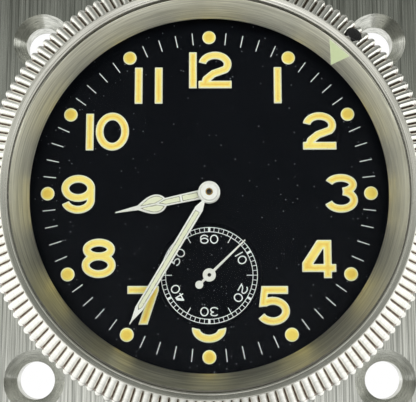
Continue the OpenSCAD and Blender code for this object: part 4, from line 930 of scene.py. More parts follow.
@dataclass(frozen=True)
class Lume(Paint):
    """Luminous paint laid by hand: a pale rim where the base coat shows, a deeper middle, and small pits.

    Args:
        rim: Colour at the outline, sRGB.
        rim_mm: Width of the pale rim.
        heart: Colour far inside, sRGB.
        heart_mm: Way in from the rim over which the heart's colour grows full.
        wobble_mm: How far smears shift the rim either way.
    """

    rim: Colour = (236, 233, 196)
    rim_mm: float = 0.13
    heart: Colour = (230, 190, 74)
    heart_mm: float = 0.3
    wobble_mm: float = 0.03

    def base(self, g: Graph) -> Socket:
        """Rim to tone to heart by the depth inside the outline; smears shift it, clouds thin the heart."""
        cloud, smear = g.use(Effects.handling(), Place=g.place(), Scale=260.0)
        depth = g.plus(g.inset(), g.fit(smear, 0.3, 0.7, -self.wobble_mm, self.wobble_mm))
        inner = g.fit(depth, self.rim_mm * 0.45, self.rim_mm)
        far = g.fit(depth, self.rim_mm, self.rim_mm + self.heart_mm)
        deep = g.times(far, g.fit(cloud, 0.3, 0.6, 0.35, 1.0))
        return g.blend(inner, self.rim, g.blend(deep, self.tone, self.heart))


@dataclass(frozen=True)
class Glass(Finish):
    """Clear mineral glass that lets the lamps' light through to what lies behind it.

    Args:
        tint: Colour of what shows through, sRGB.
        ior: Index of refraction, kept near that of air.
    """

    tint: Colour = (252, 255, 254)
    ior: float = 1.08

    def wire(self, g: Graph, shader: bpy.types.Node) -> Socket:
        """A Principled glass, exchanged for a Transparent shader on shadow, diffuse and glossy rays."""
        g.feed(shader.inputs["Base Color"], linear(self.tint))
        g.feed(shader.inputs["Roughness"], 0.0)
        g.feed(shader.inputs["IOR"], self.ior)
        g.feed(shader.inputs["Transmission Weight"], 1.0)
        clear = g.node("ShaderNodeBsdfTransparent").outputs[0]
        return g.cover(g.rays("Shadow", "Diffuse", "Glossy"), shader.outputs[0], clear)


@dataclass(frozen=True)
class Ruby(Finish):
    """Polished synthetic ruby: deep red with a darker heart and a wet gloss.

    Args:
        tone: Its red, sRGB.
        heart: Its darkest red, sRGB.
        gloss: Strength of the clear coat.
    """

    tone: Colour = (176, 22, 54)
    heart: Colour = (96, 6, 28)
    gloss: float = 0.6

    def wire(self, g: Graph, shader: bpy.types.Node) -> Socket:
        """Clouds of dark red under a clear coat."""
        cloud, smear = g.use(Effects.handling(), Place=g.place(), Scale=900.0)
        g.feed(shader.inputs["Base Color"], g.blend(g.fit(cloud, 0.3, 0.7), self.tone, self.heart))
        g.feed(shader.inputs["Roughness"], g.fit(smear, 0.3, 0.7, 0.08, 0.2))
        g.feed(shader.inputs["Coat Weight"], self.gloss)
        return shader.outputs[0]


@dataclass(frozen=True)
class Backdrop(Finish):
    """Plain pale paper for the floor: shadows near the clock, and plain white away from it.

    Args:
        tones: The paper's two near tones, sRGB.
        plain_m: Distance over which the camera's view of it turns to white, in metres.
        mirrored_m: Distances at which the metal's view of it starts to turn white and is white, in metres.
        mirrored_gain: How much brighter than white the metal sees it.
    """

    tones: tuple[Colour, Colour] = ((238, 238, 236), (242, 242, 240))
    plain_m: float = 0.09
    mirrored_m: Pair = (0.012, 0.032)
    mirrored_gain: float = 0.3

    def wire(self, g: Graph, shader: bpy.types.Node) -> Socket:
        """Paper near the clock and white past that, sooner for metal. From below the camera sees through."""
        x, y, _ = g.parts(g.place())
        far = g.radius(x, y)
        grain = g.use(Effects.grain(), Place=g.place(), Scale=900.0)[0]
        g.feed(shader.inputs["Base Color"], g.blend(grain, *self.tones))
        g.feed(shader.inputs["Roughness"], 0.9)
        g.feed(shader.inputs["Specular IOR Level"], 0.1)
        seen, glossy = g.rays("Camera", "Transmission"), g.rays("Glossy")
        plain = g.times(g.fit(far, 0.0, self.plain_m), seen)
        mirrored = g.times(g.fit(far, *self.mirrored_m), glossy)
        light = g.node("ShaderNodeEmission")
        g.feed(light.inputs["Strength"], g.plus(1.0, g.times(glossy, self.mirrored_gain)))
        paper = g.cover(g.most(plain, mirrored), shader.outputs[0], light.outputs[0])
        below = g.times(g.node("ShaderNodeNewGeometry").outputs["Backfacing"], seen)
        return g.cover(below, paper, g.node("ShaderNodeBsdfTransparent").outputs[0])


PLATE_STEEL = PlateSteel(
    "plate_brushed_steel", tone=(214, 215, 207), shade=(92, 95, 88), marks=Marks.BRUSHED, broad=0.16,
    roughness=0.26, fineness=7000, contrast=0.74, bump_mm=0.010, wear=0.0, anisotropic=0.8,
)
CASE_STEEL = Steel(
    "case_satin_steel", roughness=0.3, fineness=5000, contrast=0.4, broad=0.2, bump_mm=0.003,
    anisotropic=0.5,
)
# The bezel's lobes are darkened in their valleys by dirt and painted shade
BEZEL_STEEL = LobedSteel(
    "bezel_polished_steel", tone=(240, 240, 233), shade=(160, 158, 148), roughness=0.10, contrast=0.18,
    bump_mm=0.0008, wear=0.5,
)
RIM_STEEL = Steel(
    "rim_brushed_steel", tone=(232, 231, 222), shade=(150, 149, 138), roughness=0.24, fineness=10000,
    contrast=0.45, bump_mm=0.0015, wear=0.0, anisotropic=0.7,
)
RING_STEEL = Steel(
    "ring_brushed_steel", tone=(240, 238, 221), shade=(152, 150, 132), broad=0.25, roughness=0.34,
    fineness=6000, contrast=0.56, bump_mm=0.004, wear=0.0, anisotropic=0.6,
)
CROWN_STEEL = Steel(
    "crown_polished_steel", marks=Marks.TURNED_ABOUT_STEM, roughness=0.2, contrast=0.2, bump_mm=0.001,
)
SCREW_STEEL = Steel("screw_steel", tone=(168, 168, 164), roughness=0.28, contrast=0.3)
SPRING_STEEL = Steel(
    "spring_steel", tone=(150, 152, 160), roughness=0.25, contrast=0.2, shade=(70, 80, 110),
)
WORK_STEEL = Steel(
    "movement_steel", tone=(188, 188, 186), roughness=0.2, contrast=0.2, fineness=14000, bump_mm=0.0006,
)
PIN_STEEL = Steel(
    "pin_dark_steel", tone=(74, 72, 68), shade=(36, 34, 32), roughness=0.35, contrast=0.3, fineness=30000,
    bump_mm=0.0005, wear=0.0,
)
ALLOY = Steel("ring_alloy", tone=(205, 205, 202), roughness=0.38, contrast=0.2)
GILT = Steel(
    "movement_gilt", tone=(222, 196, 130), shade=(170, 140, 80), marks=Marks.FROSTED, roughness=0.36,
    bump_mm=0.002,
)
BRASS = Steel(
    "wheel_brass", tone=(226, 192, 108), shade=(168, 130, 60), roughness=0.22, fineness=16000,
    contrast=0.3, bump_mm=0.0008,
)
RUBBER = Paint(
    "gasket_rubber", tone=(84, 83, 74), shade=(98, 96, 86), roughness=0.62, grain_mm=0.006, dust=0.08,
)
# Black for the pip: painted shade in place of the dark of its hole
PIP_SHADE_BLACK = Paint(
    "pip_black", tone=(12, 12, 13), shade=(24, 24, 24), roughness=0.3, grain_mm=0.004, dust=0.05,
)
DIAL_BLACK = Paint(
    "dial_black_lacquer", tone=(8, 10, 14), shade=(13, 15, 19), roughness=0.42, grain_mm=0.0003,
    grain_scale=20000, dust=0.08, dust_scale=3700, dust_tone=(122, 126, 131), specular=0.05,
)
PRINT_WHITE = Paint(
    "printed_white", tone=(236, 240, 236), shade=(216, 222, 218), roughness=0.5, grain_mm=0.001, dust=0.0,
)
HAND_WHITE = Paint(
    "hand_white_paint", tone=(238, 239, 231), shade=(222, 223, 212), roughness=0.34, grain_mm=0.0015,
    dust=0.03, dust_tone=(150, 148, 138),
)
DIAL_LUME = Lume(
    "dial_lume", tone=(246, 230, 128), shade=(240, 221, 114), rim=(240, 240, 210), rim_mm=0.19,
    heart=(238, 196, 78), roughness=0.62, grain_mm=0.012, grain_scale=4200, dust=0.03,
    dust_tone=(110, 96, 60),
)
DOT_LUME = Lume(
    "dot_lume", tone=(250, 232, 114), shade=(242, 218, 98), rim=(240, 238, 200), rim_mm=0.16,
    heart=(236, 200, 80), roughness=0.6, grain_mm=0.01, grain_scale=4200, dust=0.03,
    dust_tone=(110, 96, 60),
)
HAND_LUME = Lume(
    "hand_lume", tone=(226, 229, 200), shade=(216, 219, 188), rim=(142, 144, 122), heart=(219, 222, 190),
    rim_mm=0.10, roughness=0.6, grain_mm=0.008, grain_scale=4200, dust=0.04, dust_tone=(150, 150, 128),
)
TRIANGLE_LUME = Lume(
    "triangle_lume", tone=(240, 253, 204), shade=(232, 247, 196), rim=(244, 252, 220),
    heart=(236, 250, 198), rim_mm=0.08, roughness=0.6, grain_mm=0.008, dust=0.03,
    dust_tone=(140, 150, 110),
)
CRYSTAL = Glass("crystal_glass")
RUBY = Ruby("ruby")
PAPER = Backdrop("pale_paper")


def show(
    name: str, shell: Shell, finish: Finish, body: str, slot: str, stands_for: tuple[str, ...] = (),
    crease: float = 40.0,
) -> None:
    """Makes a piece, dresses it, sets what it rides on, and hides the CAD nodes that it stands for.

    Args:
        name: The piece's name.
        shell: Its surface.
        finish: What it is made of.
        body: The body it rides on.
        slot: The record's material slot; not used.
        stands_for: CAD nodes that it replaces.
        crease: Angle in degrees past which an edge stays sharp.
    """
    piece = fill_mesh(name, shell, crease)
    piece.data.materials.append(finish.material())
    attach(piece, body)
    if stands_for:
        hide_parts(*stands_for)
    LOG.info("%s: %d faces", name, len(piece.data.polygons))


# Sub-assemblies


@dataclass
class Bezel:
    """The turning bezel: rounded lobes on a cone, each with a round end, and more of them down the side.

    The crest follows a profile (radius, height) with the way along it called s. Each lobe is a strip, and
    where the distance d from its middle line, in half pitches, grows from crest to 1, the surface sinks
    along its own normal as a quarter wave. Past a strip's end, d counts from that end, so the end is round.
    Nearer than well_r to the pip's axis it sinks by well_depth at least.

    Args:
        flutes: Number of lobes.
        radius: Of the side's crests.
        drop: How far the side reaches below the dial's top.
        edge_z: Height of the side, before the knee.
        start_r: Radius at which the cone meets the rim.
        mid: Corner of side and cone, as radius and height.
        knee: Where the knee ends on the cone, as radius and height.
        top_z: Height of the cone at the rim.
        rim_top: Height of the rim.
        seat_r: Inner radius of the rim.
        crystal_z: Height of the crystal's underside.
        dish_low: Inner edge of the dish, as radius and height.
        dish_high: Outer edge of the dish, as radius and height.
        dish_r: Outer radius of the dished ring.
        foot_z: Height of the dished ring's underside.
        bore_r: Radius of the bore for the case.
        land_z: Height of the bore's end.
        depth: Of the valleys between the lobes.
        crest: Half width of a lobe's nearly flat top, in half pitches.
        crown: Share of the depth that is a shallow dome.
        fade: Way over which the lobes grow out of the rim.
        lobe_end_r: Radius at which a strip on the cone ends.
        lobe_gap: Way round the knee between the strips of cone and side.
        triangle_angle: Place of the triangle, clockwise from 12 in degrees.
        pip_angle: Place of the pip, clockwise from 12 in degrees.
        pip_r: Radius of the pip.
        pip_depth: How far the pip's body reaches below the crests.
        well_r: Radius of the pip's well.
        well_depth: Of the well below the crests.
        well_wall: Width of the well's wall.
    """

    flutes: int = 152
    radius: float = 25.5
    drop: float = 0.6
    edge_z: float = 2.9
    start_r: float = 22.9
    mid: Pair = (25.15, 3.45)
    knee: Pair = (24.85, 3.637)
    top_z: float = 4.85
    rim_top: float = 5.05
    seat_r: float = 21.95
    crystal_z: float = 4.4
    dish_low: Pair = (20.1, 1.7)
    dish_high: Pair = (21.75, 4.4)
    dish_r: float = 22.28
    foot_z: float = 1.3
    bore_r: float = 23.65
    land_z: float = 3.2
    depth: float = 0.42
    crest: float = 0.14
    crown: float = 0.05
    fade: float = 0.42
    lobe_end_r: float = 24.95
    lobe_gap: float = 0.82
    triangle_angle: float = 42.6
    pip_angle: float = 43.0
    pip_r: float = 0.92
    pip_depth: float = 0.5
    well_r: float = 0.98
    well_depth: float = 0.34
    well_wall: float = 0.1

    def slope(self) -> tuple[float, float, float]:
        """The cone's middle as radius and height, and how far it leans from the dial's plane in radians."""
        lean = math.atan2(self.top_z - self.mid[1], self.mid[0] - self.start_r)
        return (self.start_r + self.mid[0]) / 2, (self.top_z + self.mid[1]) / 2, lean

    def profile(self) -> tuple[Array, Array]:
        """The loop of the section, as radius and height.

        Returns:
            The crest of a lobe, up the side, round the knee and in over the cone, and the smooth rest of the
            loop, down the seat and the bore and out along the underside.
        """
        side = np.array([[self.radius, z] for z in (-self.drop + 0.35, 0.4, 1.4, 2.1, self.edge_z - 0.3)])
        t = np.linspace(0, 1, 12)[1:-1, None]
        corner, last = np.array([self.radius, self.mid[1] + 0.02]), np.array(self.knee)
        bend = (1 - t) ** 2 * side[-1] + 2 * t * (1 - t) * corner + t**2 * last
        spread = self.start_r + 0.02 - self.knee[0]
        cone_r = self.knee[0] + spread * np.linspace(0, 1, 13)[:, None] ** 0.9
        slope = (self.top_z - self.mid[1]) / (self.mid[0] - self.start_r)
        cone = np.hstack([cone_r, self.mid[1] + (self.mid[0] - cone_r) * slope])
        foot_r, low = self.radius - self.depth, -self.drop
        rest = np.array([
            [self.start_r - 0.06, self.top_z + 0.02], [self.start_r - 0.1, self.top_z - 0.1],
            [self.seat_r + 0.02, self.top_z - 0.1], [self.seat_r + 0.02, self.crystal_z],
            [self.dish_r, self.crystal_z], [self.dish_r, self.land_z], [self.bore_r, self.land_z],
            [self.bore_r, low + 0.1], [self.bore_r + 0.1, low],
            [foot_r - 0.35, low], [foot_r - 0.1, low + 0.04],
        ])
        return np.vstack([side, bend, cone]), rest

    def lobes(self, x: Array, crest: Array) -> Array:
        """How far a lobe's surface lies below its crest.

        Args:
            x: Places across the lobe in half pitches, as a column.
            crest: The crest's points.
        """
        s = np.concatenate([[0], np.cumsum(np.linalg.norm(np.diff(crest, axis=0), axis=1))])
        half = math.pi * self.radius / self.flutes
        end = np.interp(-self.lobe_end_r, -crest[:, 0], s)
        above = np.hypot(x, np.maximum(end - s, 0)[None] / half)
        below = np.hypot(x, np.maximum(s - end + self.lobe_gap, 0)[None] / half)
        d = np.minimum(above, below)
        wave = 1 - np.cos(np.clip((d - self.crest) / (1 - self.crest), 0, 1) * math.pi / 2)
        fall = np.full(len(s), self.depth)
        fall[0] *= 0.6
        fall *= np.clip((crest[:, 0] - self.start_r) / self.fade, 0, 1) ** 0.5
        return (self.crown * d * d + (1 - self.crown) * wave) * fall[None]

    def well(self, a: Array, crest: Array) -> Array:
        """How far the pip's well cuts below the crest.

        Args:
            a: Angles clockwise from 12 in radians.
            crest: The crest's points.
        """
        mid_r, mid_z, lean = self.slope()
        off = (a - math.radians(self.pip_angle) + math.pi) % (2 * math.pi) - math.pi
        r, rise = crest[:, 0], (crest[:, 1] - mid_z) * math.sin(lean)
        way = (r * np.cos(off)[:, None] - mid_r) * math.cos(lean) - rise
        near = np.hypot(r * np.sin(off)[:, None], way)
        return self.well_depth * np.clip((self.well_r - near) / self.well_wall, 0, 1)

    def fluted(self) -> Shell:
        """The coin edge as one surface of the angle and the way along the profile."""
        crest, rest = self.profile()
        x = np.array([-1, -0.93, -0.84, -0.72, -0.56, -0.3, 0, 0.3, 0.56, 0.72, 0.84, 0.93])[:, None]
        a = ((np.arange(self.flutes)[:, None] + x.T / 2) * 2 * math.pi / self.flutes).ravel()
        deep = np.maximum(np.tile(self.lobes(x, crest), (self.flutes, 1)), self.well(a, crest))
        sink = np.hstack([deep, np.zeros((len(a), len(rest)))])
        loop = np.vstack([crest, rest])
        step = np.roll(loop, -1, 0) - np.roll(loop, 1, 0)
        normal = np.stack([step[:, 1], -step[:, 0]], 1)
        normal /= np.maximum(np.linalg.norm(normal, axis=1), 1e-9)[:, None]
        r = loop[:, 0] - sink * normal[:, 0]
        z = loop[:, 1] - sink * normal[:, 1]
        grid = np.stack([r * np.sin(a)[:, None], r * np.cos(a)[:, None], z], -1)
        return sheet_of(grid, wrap_u=True, wrap_v=True, depth=sink)

    def rim(self) -> Shell:
        """The smooth rim inside the lobes, falling a little to the crystal, with one fine groove."""
        top, inner, outer = self.rim_top, self.seat_r, self.start_r - 0.03
        profile = softened([
            (outer, top - 0.35), (outer, top - 0.10), (outer - 0.09, top), (inner + 0.33, top - 0.14),
            (inner + 0.30, top - 0.18), (inner + 0.27, top - 0.15), (inner + 0.07, top - 0.20),
            (inner, top - 0.27), (inner, top - 0.35),
        ], 0.03, steps=3)
        return turned_profile(profile, 720)

    def ring(self) -> Shell:
        """The dished ring under the crystal's edge."""
        (low_r, low_z), outer = self.dish_low, self.dish_r
        profile = softened([
            self.dish_low, self.dish_high, (outer, self.crystal_z), (outer, self.foot_z),
            (low_r + 0.3, self.foot_z), (low_r, low_z - 0.15),
        ], 0.05, steps=3)
        return turned_profile(profile, 720)

    def triangle(self) -> Shell:
        """The luminous triangle: a relief in (side, slope) coordinates laid on the dished cone."""
        body = shape_field([(-1.50, 2.95), (1.50, 2.95), (0.38, 0.02)])
        flat = Relief(floor=-0.01, top=0.075, edge=0.06, step=0.045).shell(body, (-1.7, -0.1), (1.7, 3.1))
        u, v, w = flat.points.T
        (low_r, low_z), (high_r, high_z) = self.dish_low, self.dish_high
        slope = np.array([high_r - low_r, high_z - low_z]) / math.hypot(high_r - low_r, high_z - low_z)
        r = low_r + v * slope[0] - w * slope[1]
        z = low_z + v * slope[1] + w * slope[0]
        laid = np.column_stack([u, np.sqrt(np.maximum(r * r - u * u, 0)), z])
        return replace(flat, points=laid).turned(self.triangle_angle)

    def pip(self) -> Shell:
        """Painted shade of the pip's hole: a black drop in the well over the lobes, falling as a cubic from
        its middle.
        """
        t = np.linspace(0, 1, 9)
        drop = np.column_stack([(self.pip_r - 0.04) * t, -0.05 * t**3])
        body = [(self.pip_r, -0.1), (self.pip_r, -self.pip_depth), (0.0, -self.pip_depth)]
        shell = turned_profile(np.vstack([drop, body]), 48, closed=False)
        mid_r, mid_z, lean = self.slope()
        x, y, z = shell.points.T
        up, out = math.cos(lean), math.sin(lean)
        leaned = np.column_stack([x, y * up + z * out, -y * out + z * up])
        return replace(shell, points=leaned).moved(0, mid_r, mid_z).turned(self.pip_angle)

    def build(self) -> None:
        """Makes and dresses the bezel group."""
        for name, shell, finish, slot, stands_for, crease in (
            ("bezel_coin_edge", self.fluted(), BEZEL_STEEL, "bezel_steel", ("bezel",), 70),
            ("bezel_rim", self.rim(), RIM_STEEL, "bezel_steel", (), 40),
            ("bezel_dished_ring", self.ring(), RING_STEEL, "ring_steel", ("bezel_inner_ring",), 40),
            ("bezel_triangle", self.triangle(), TRIANGLE_LUME, "triangle_lume", ("ring_triangle",), 40),
            ("bezel_pip", self.pip(), PIP_SHADE_BLACK, "pip_black", ("index_pip",), 40),
        ):
            show(name, shell, finish, "bezel_group", slot, stands_for, crease)


@dataclass
class Glazing:
    """The flat crystal and the thin gasket round it.

    Args:
        radius: Of the crystal.
        z: Height of its underside.
        thickness: Of the crystal.
        chamfer: Width and height of its chamfer.
        gasket: Width of the gasket.
        gasket_top: Height of the gasket's top.
        slack: Gap between the gasket and what it touches, so that no faces coincide.
    """

    radius: float = 21.75
    z: float = 4.4
    thickness: float = 1.5
    chamfer: float = 0.3
    gasket: float = 0.18
    gasket_top: float = 5.05
    slack: float = 0.01

    def pane(self) -> Shell:
        """The crystal: a disc with a chamfered edge."""
        low, top, r, c = self.z, self.z + self.thickness, self.radius, self.chamfer
        profile = softened([(0, low), (r, low), (r, top - c), (r - c, top), (0, top)], 0.05, closed=False)
        return turned_profile(profile, 360, closed=False)

    def ring(self) -> Shell:
        """The gasket: a ring with softened corners."""
        r, low, top = self.radius + self.slack, self.z + self.slack, self.gasket_top
        profile = softened([(r, low), (r + self.gasket, low), (r + self.gasket, top), (r, top)], 0.06)
        return turned_profile(profile, 360)

    def build(self) -> None:
        """Makes and dresses the crystal and its gasket."""
        show("crystal_pane", self.pane(), CRYSTAL, "bezel_group", "crystal_glass", ("crystal",), crease=25)
        gasket = ("crystal_gasket",)
        show("crystal_gasket_ring", self.ring(), RUBBER, "bezel_group", "gasket_rubber", gasket)


@dataclass
class Numerals:
    """Brush-drawn numerals as signed distances, each centred on the middle of its own height.

    Args:
        height: Height of a numeral.
        stroke: Width of the brush.
        breadth: Width of a round numeral as a share of the height.
        overshoot: How far a round numeral passes the height, as a share of half of it.
        nh: Half the height.
        nw: Half the width.
        cx: Half the width at the brush's middle.
        cy: Half the height at the brush's middle.
    """

    height: float = 4.3
    stroke: float = 0.9
    breadth: float = 0.89
    overshoot: float = 0.035
    nh: float = field(init=False)
    nw: float = field(init=False)
    cx: float = field(init=False)
    cy: float = field(init=False)

    def __post_init__(self) -> None:
        """Works out the half sizes that all numerals share."""
        self.nh = self.height / 2
        self.nw = self.breadth * self.nh
        self.cx = self.nw - self.stroke / 2
        self.cy = self.nh + self.overshoot * self.nh - self.stroke / 2

    @staticmethod
    def arc(centre: Pair, r: Pair, start: float, end: float, steps: int = 22) -> Array:
        """Points of an elliptical arc, angles anticlockwise from 3 o'clock."""
        a = np.radians(np.linspace(start, end, steps + 1))
        return np.column_stack([centre[0] + r[0] * np.cos(a), centre[1] + r[1] * np.sin(a)])

    def loop(self, centre: Pair, r: Pair) -> Field:
        """A closed ring of the brush."""
        return line_field(self.arc(centre, r, 0, 350, 35), self.stroke, closed=True)

    @staticmethod
    def bar(x0: float, y0: float, x1: float, y1: float) -> Field:
        """An upright rectangle between two corners."""
        return shape_field([(x0, y0), (x1, y0), (x1, y1), (x0, y1)])

    def digit(self, n: int) -> Field:
        """The outline of one digit."""
        return getattr(self, f"_{n}")()

    def _0(self) -> Field:
        """Nought: one ring."""
        return self.loop((0, 0), (self.cx, self.cy))

    def _1(self) -> Field:
        """One: a plain stroke."""
        return self.bar(-self.stroke / 2, -self.nh, self.stroke / 2, self.nh)

    def _2(self) -> Field:
        """Two: a bowl, a slant and a foot."""
        nh, nw, cx, cy = self.nh, self.nw, self.cx, self.cy
        bowl = 0.60 * cy
        tail = [(-0.1 * nw, -0.19 * nh), (-0.53 * nw, -0.5 * nh), (-cx - 0.02, -1.2 * nh)]
        path = np.vstack([self.arc((0, cy - bowl), (cx, bowl), 174, -36), tail])
        body = union(line_field(path, self.stroke), self.bar(-nw, -nh, nw, -nh + self.stroke))
        return cut(body, self.bar(-2 * nw, -3 * nh, 2 * nw, -nh), self.bar(-2 * nw, -3 * nh, -nw, 0))

    def _3(self) -> Field:
        """Three: two bowls."""
        lower = 0.56 * self.cy
        upper = self.cy - lower
        return union(
            line_field(self.arc((0, lower - self.cy), (self.cx, lower), -165, 82), self.stroke),
            line_field(self.arc((0, self.cy - upper), (0.94 * self.cx, upper), 165, -82), self.stroke),
        )

    def _4(self) -> Field:
        """Four: a slanted arm with an open triangle."""
        nh, nw, s = self.nh, self.nw, self.stroke
        stem, bar = 0.5 * nw, -0.26 * nh
        left, right = stem - s / 2, stem + s / 2
        body = shape_field([
            (-nw, bar - s), (-nw, bar + 0.056 * nh), (-0.1 * nh, nh), (right, nh), (right, bar), (nw, bar),
            (nw, bar - s), (right, bar - s), (right, -nh), (left, -nh), (left, bar - s),
        ])
        return cut(body, shape_field([(left, 0.57 * nh), (left, bar), (-0.35 * nw, bar)]))

    def _5(self) -> Field:
        """Five: a flag, a neck and a bowl."""
        nh, nw, s = self.nh, self.nw, self.stroke
        bowl = 0.64 * self.cy
        flag = shape_field([
            (-0.66 * nw, nh), (0.9 * nw, nh), (0.9 * nw, nh - s), (-0.29 * nw, nh - s),
            (-0.36 * nw, -0.06 * nh), (-0.81 * nw, -0.1 * nh),
        ])
        return union(line_field(self.arc((0, bowl - self.cy), (self.cx, bowl), -152, 132), s), flag)

    def _6(self) -> Field:
        """Six: a nine turned over."""
        nine = self._9()
        return lambda p: nine(-p)

    def _7(self) -> Field:
        """Seven: a bar and a slanted stem."""
        nh, nw, s = self.nh, self.nw, self.stroke
        top = 0.92 * nw
        return shape_field([
            (-top, nh), (top, nh), (top, 0.77 * nh), (0.28 * nw, -nh), (-0.26 * nw, -nh), (0.33 * nw, nh - s),
            (-top, nh - s),
        ])

    def _8(self) -> Field:
        """Eight: two rings."""
        lower = 0.56 * self.cy
        upper = (0.93 * self.cx, self.cy - lower)
        return union(self.loop((0, lower - self.cy), (self.cx, lower)), self.loop((0, lower), upper))

    def _9(self) -> Field:
        """Nine: a ring and a hooked tail."""
        bowl = 0.62 * self.cy
        hook = self.arc((0, bowl - self.cy), (self.cx, bowl), 4, -165)
        tail = np.vstack([[(self.cx, self.cy - bowl + 0.05)], hook])
        return union(self.loop((0, self.cy - bowl), (self.cx, bowl)), line_field(tail, self.stroke))


# Each numeral of the hours: digit and its place on the dial
HOUR_PLACES = (
    (1, -1.87, 14.42), (2, 0.69, 14.42), (1, 7.9, 12.63), (2, 12.62, 7.2), (3, 14.93, 0.0), (4, 12.32, -7.46),
    (5, 7.08, -12.62), (6, -0.03, -14.53), (7, -7.4, -12.6), (8, -12.41, -7.35), (9, -14.87, -0.06),
    (1, -13.66, 7.15), (0, -11.08, 7.2), (1, -8.12, 12.6), (1, -5.81, 12.61),
)


@dataclass
class Dial:
    """The dial with its seconds recess, raised paint and printed scales.

    Args:
        radius: Of the dial.
        thickness: Of the dial.
        small_y: Height of the small dial's centre on the dial.
        small_r: Radius of the small dial.
        hole_r: Radius of the hole for the seconds arbor.
        sink: How far the small dial lies below the dial.
        dot_ring: Radius of the ring of dots.
        dot_r: Radius of a dot.
        dot_top: Height of a dot's middle.
        dot_fall: How far a dot falls to its edge.
        print_t: Thickness of print.
        print_edge: Softness of its edge.
        rail_r: Radii of the small dial's two rings.
        rail_half: Half the width of a ring.
        scale_r: Radius at which the railway keeps its true length.
        number_r: Radius of the small dial's numbers.
    """

    radius: float = 21.3
    thickness: float = 0.6
    small_y: float = -9.25
    small_r: float = 5.83
    hole_r: float = 0.4
    sink: float = 0.15
    dot_ring: float = 18.32
    dot_r: float = 0.775
    dot_top: float = 0.15
    dot_fall: float = 0.07
    print_t: float = 0.010
    print_edge: float = 0.008
    rail_r: Pair = (4.90, 5.40)
    rail_half: float = 0.04
    scale_r: float = 5.16
    number_r: float = 4.06

    def printed(self, body: Field, low: Pair, high: Pair, step: float, wrap: float = 0.0) -> Shell:
        """An outline as a film of print; the rest is as in Relief."""
        return Relief(0.0, self.print_t, self.print_edge, step, wrap).shell(body, low, high)

    def disc(self) -> Shell:
        """The dial as rings about the small dial's centre: over its floor, up its wall, and on to the edge.

        Past the wall a ring's radius goes from the wall to the distance of the dial's edge in that direction,
        which is b + sqrt(b^2 + R^2 - c^2) with b the centre's offset c resolved along it.
        """
        a = np.linspace(0, 2 * math.pi, 360, endpoint=False)[:, None]
        c = -self.small_y
        b = c * np.cos(a)
        far = b + np.sqrt(b * b + self.radius**2 - c * c)
        r0, floor, under = self.small_r, -self.sink, -self.thickness
        inner = softened([
            (self.hole_r, under), (self.hole_r, floor), (r0, floor), (r0 + 0.03, 0), (r0 + 1, 0),
        ], 0.045, closed=False)
        rings = 8
        share = np.linspace(0, 1, rings + 1)[None, 1:]
        r_in, r_out = inner[None, :, 0] + 0 * a, r0 + 1 + (far - 0.06 - r0 - 1) * share
        r = np.hstack([r_in, r_out, far - 0.02, far, far])
        z = np.concatenate([inner[:, 1], np.zeros(rings), [-0.02, -0.06, under]])[None] + 0 * a
        grid = np.stack([r * np.sin(a), self.small_y + r * np.cos(a), z], -1)
        return sheet_of(grid, wrap_u=True, wrap_v=True)

    def paint(self) -> Shell:
        """The hour numerals as reliefs, the six cut away round the small dial."""
        drawn = Numerals()
        slab = Relief(floor=0.0, top=0.12, edge=0.10, step=0.085)
        made = []
        for n, x, y in HOUR_PLACES:
            body = drawn.digit(n)
            if n == 6:
                body = cut(body, disc_field(-x, self.small_y - y, self.small_r + 0.27))
            made.append(slab.shell(body, (-2.1, -2.3), (2.1, 2.3)).moved(x, y))
        return joined(made)

    def dots(self) -> Shell:
        """Twelve domed dots, whose height falls to the edge with the fourth power of the radius."""
        t = np.linspace(0, 1, 9)
        dome = np.column_stack([self.dot_r * t, self.dot_top - self.dot_fall * t**4])
        one = turned_profile(np.vstack([dome, [(self.dot_r, 0), (0, 0)]]), 40, closed=False)
        depth = np.maximum(self.dot_r - np.hypot(one.points[:, 0], one.points[:, 1]), 0)
        one = replace(one, depth=depth)
        return joined([one.moved(0, self.dot_ring).turned(30 * k) for k in range(12)])

    def ticks(self) -> Shell:
        """A printed line at every minute that has no dot."""
        body = mirrored([(0.052, 17.5), (0.052, 18.95)])
        one = self.printed(body, (-0.115, 17.4), (0.125, 19.05), 0.05)
        return joined([one.turned(6 * k) for k in range(60) if k % 5])

    def rails(self) -> Shell:
        """The small dial's railway: two rings joined at each second, with bold joints at the tens.

        Drawn straight in (length round the ring, radius) and bent round: x = r sin(u / m), y = r cos(u / m),
        with m the radius at which the length is true.
        """
        m = self.scale_r
        round_mm = 2 * math.pi * m
        inner, outer = self.rail_r

        def marks(u: Array, count: int, half: float) -> Array:
            """Distance to the nearest of count even marks round the ring, each twice half wide."""
            pitch = round_mm / count
            return np.abs((u + pitch / 2) % pitch - pitch / 2) - half

        def body(p: Array) -> Array:
            """Distance to the nearest ring or joint, both as bands."""
            u, r = p[:, 0], p[:, 1]
            rings = np.minimum(np.abs(r - outer), np.abs(r - inner)) - self.rail_half
            joints = np.minimum(marks(u, 60, 0.035), marks(u, 6, 0.13))
            return np.minimum(rings, np.maximum(joints, np.abs(r - (inner + outer) / 2) - 0.27))

        flat = self.printed(body, (0, inner - 0.1), (round_mm, outer + 0.1), 0.042, round_mm)
        u, r, z = flat.points.T
        return replace(flat, points=np.column_stack([r * np.sin(u / m), r * np.cos(u / m), z]))

    def small_marks(self) -> Shell:
        """Longer lines at the odd fives and upright-on-the-ring numbers at the tens."""
        line = self.printed(mirrored([(0.045, 4.18), (0.045, 4.92)]), (-0.1, 4.1), (0.1, 5.0), 0.04)
        made = [line.turned(30 * k) for k in range(1, 12, 2)]
        drawn = Numerals(height=1.0, stroke=0.13, breadth=0.94)
        for k in range(6):
            left, right = (-0.38, 0.36) if k == 1 else (-0.55, 0.55)
            for digit, x in ((k or 6, left), (0, right)):
                shell = self.printed(drawn.digit(digit), (-0.6, -0.65), (0.6, 0.65), 0.036)
                made.append(shell.moved(x, self.number_r).turned(60 * k))
        return joined(made)

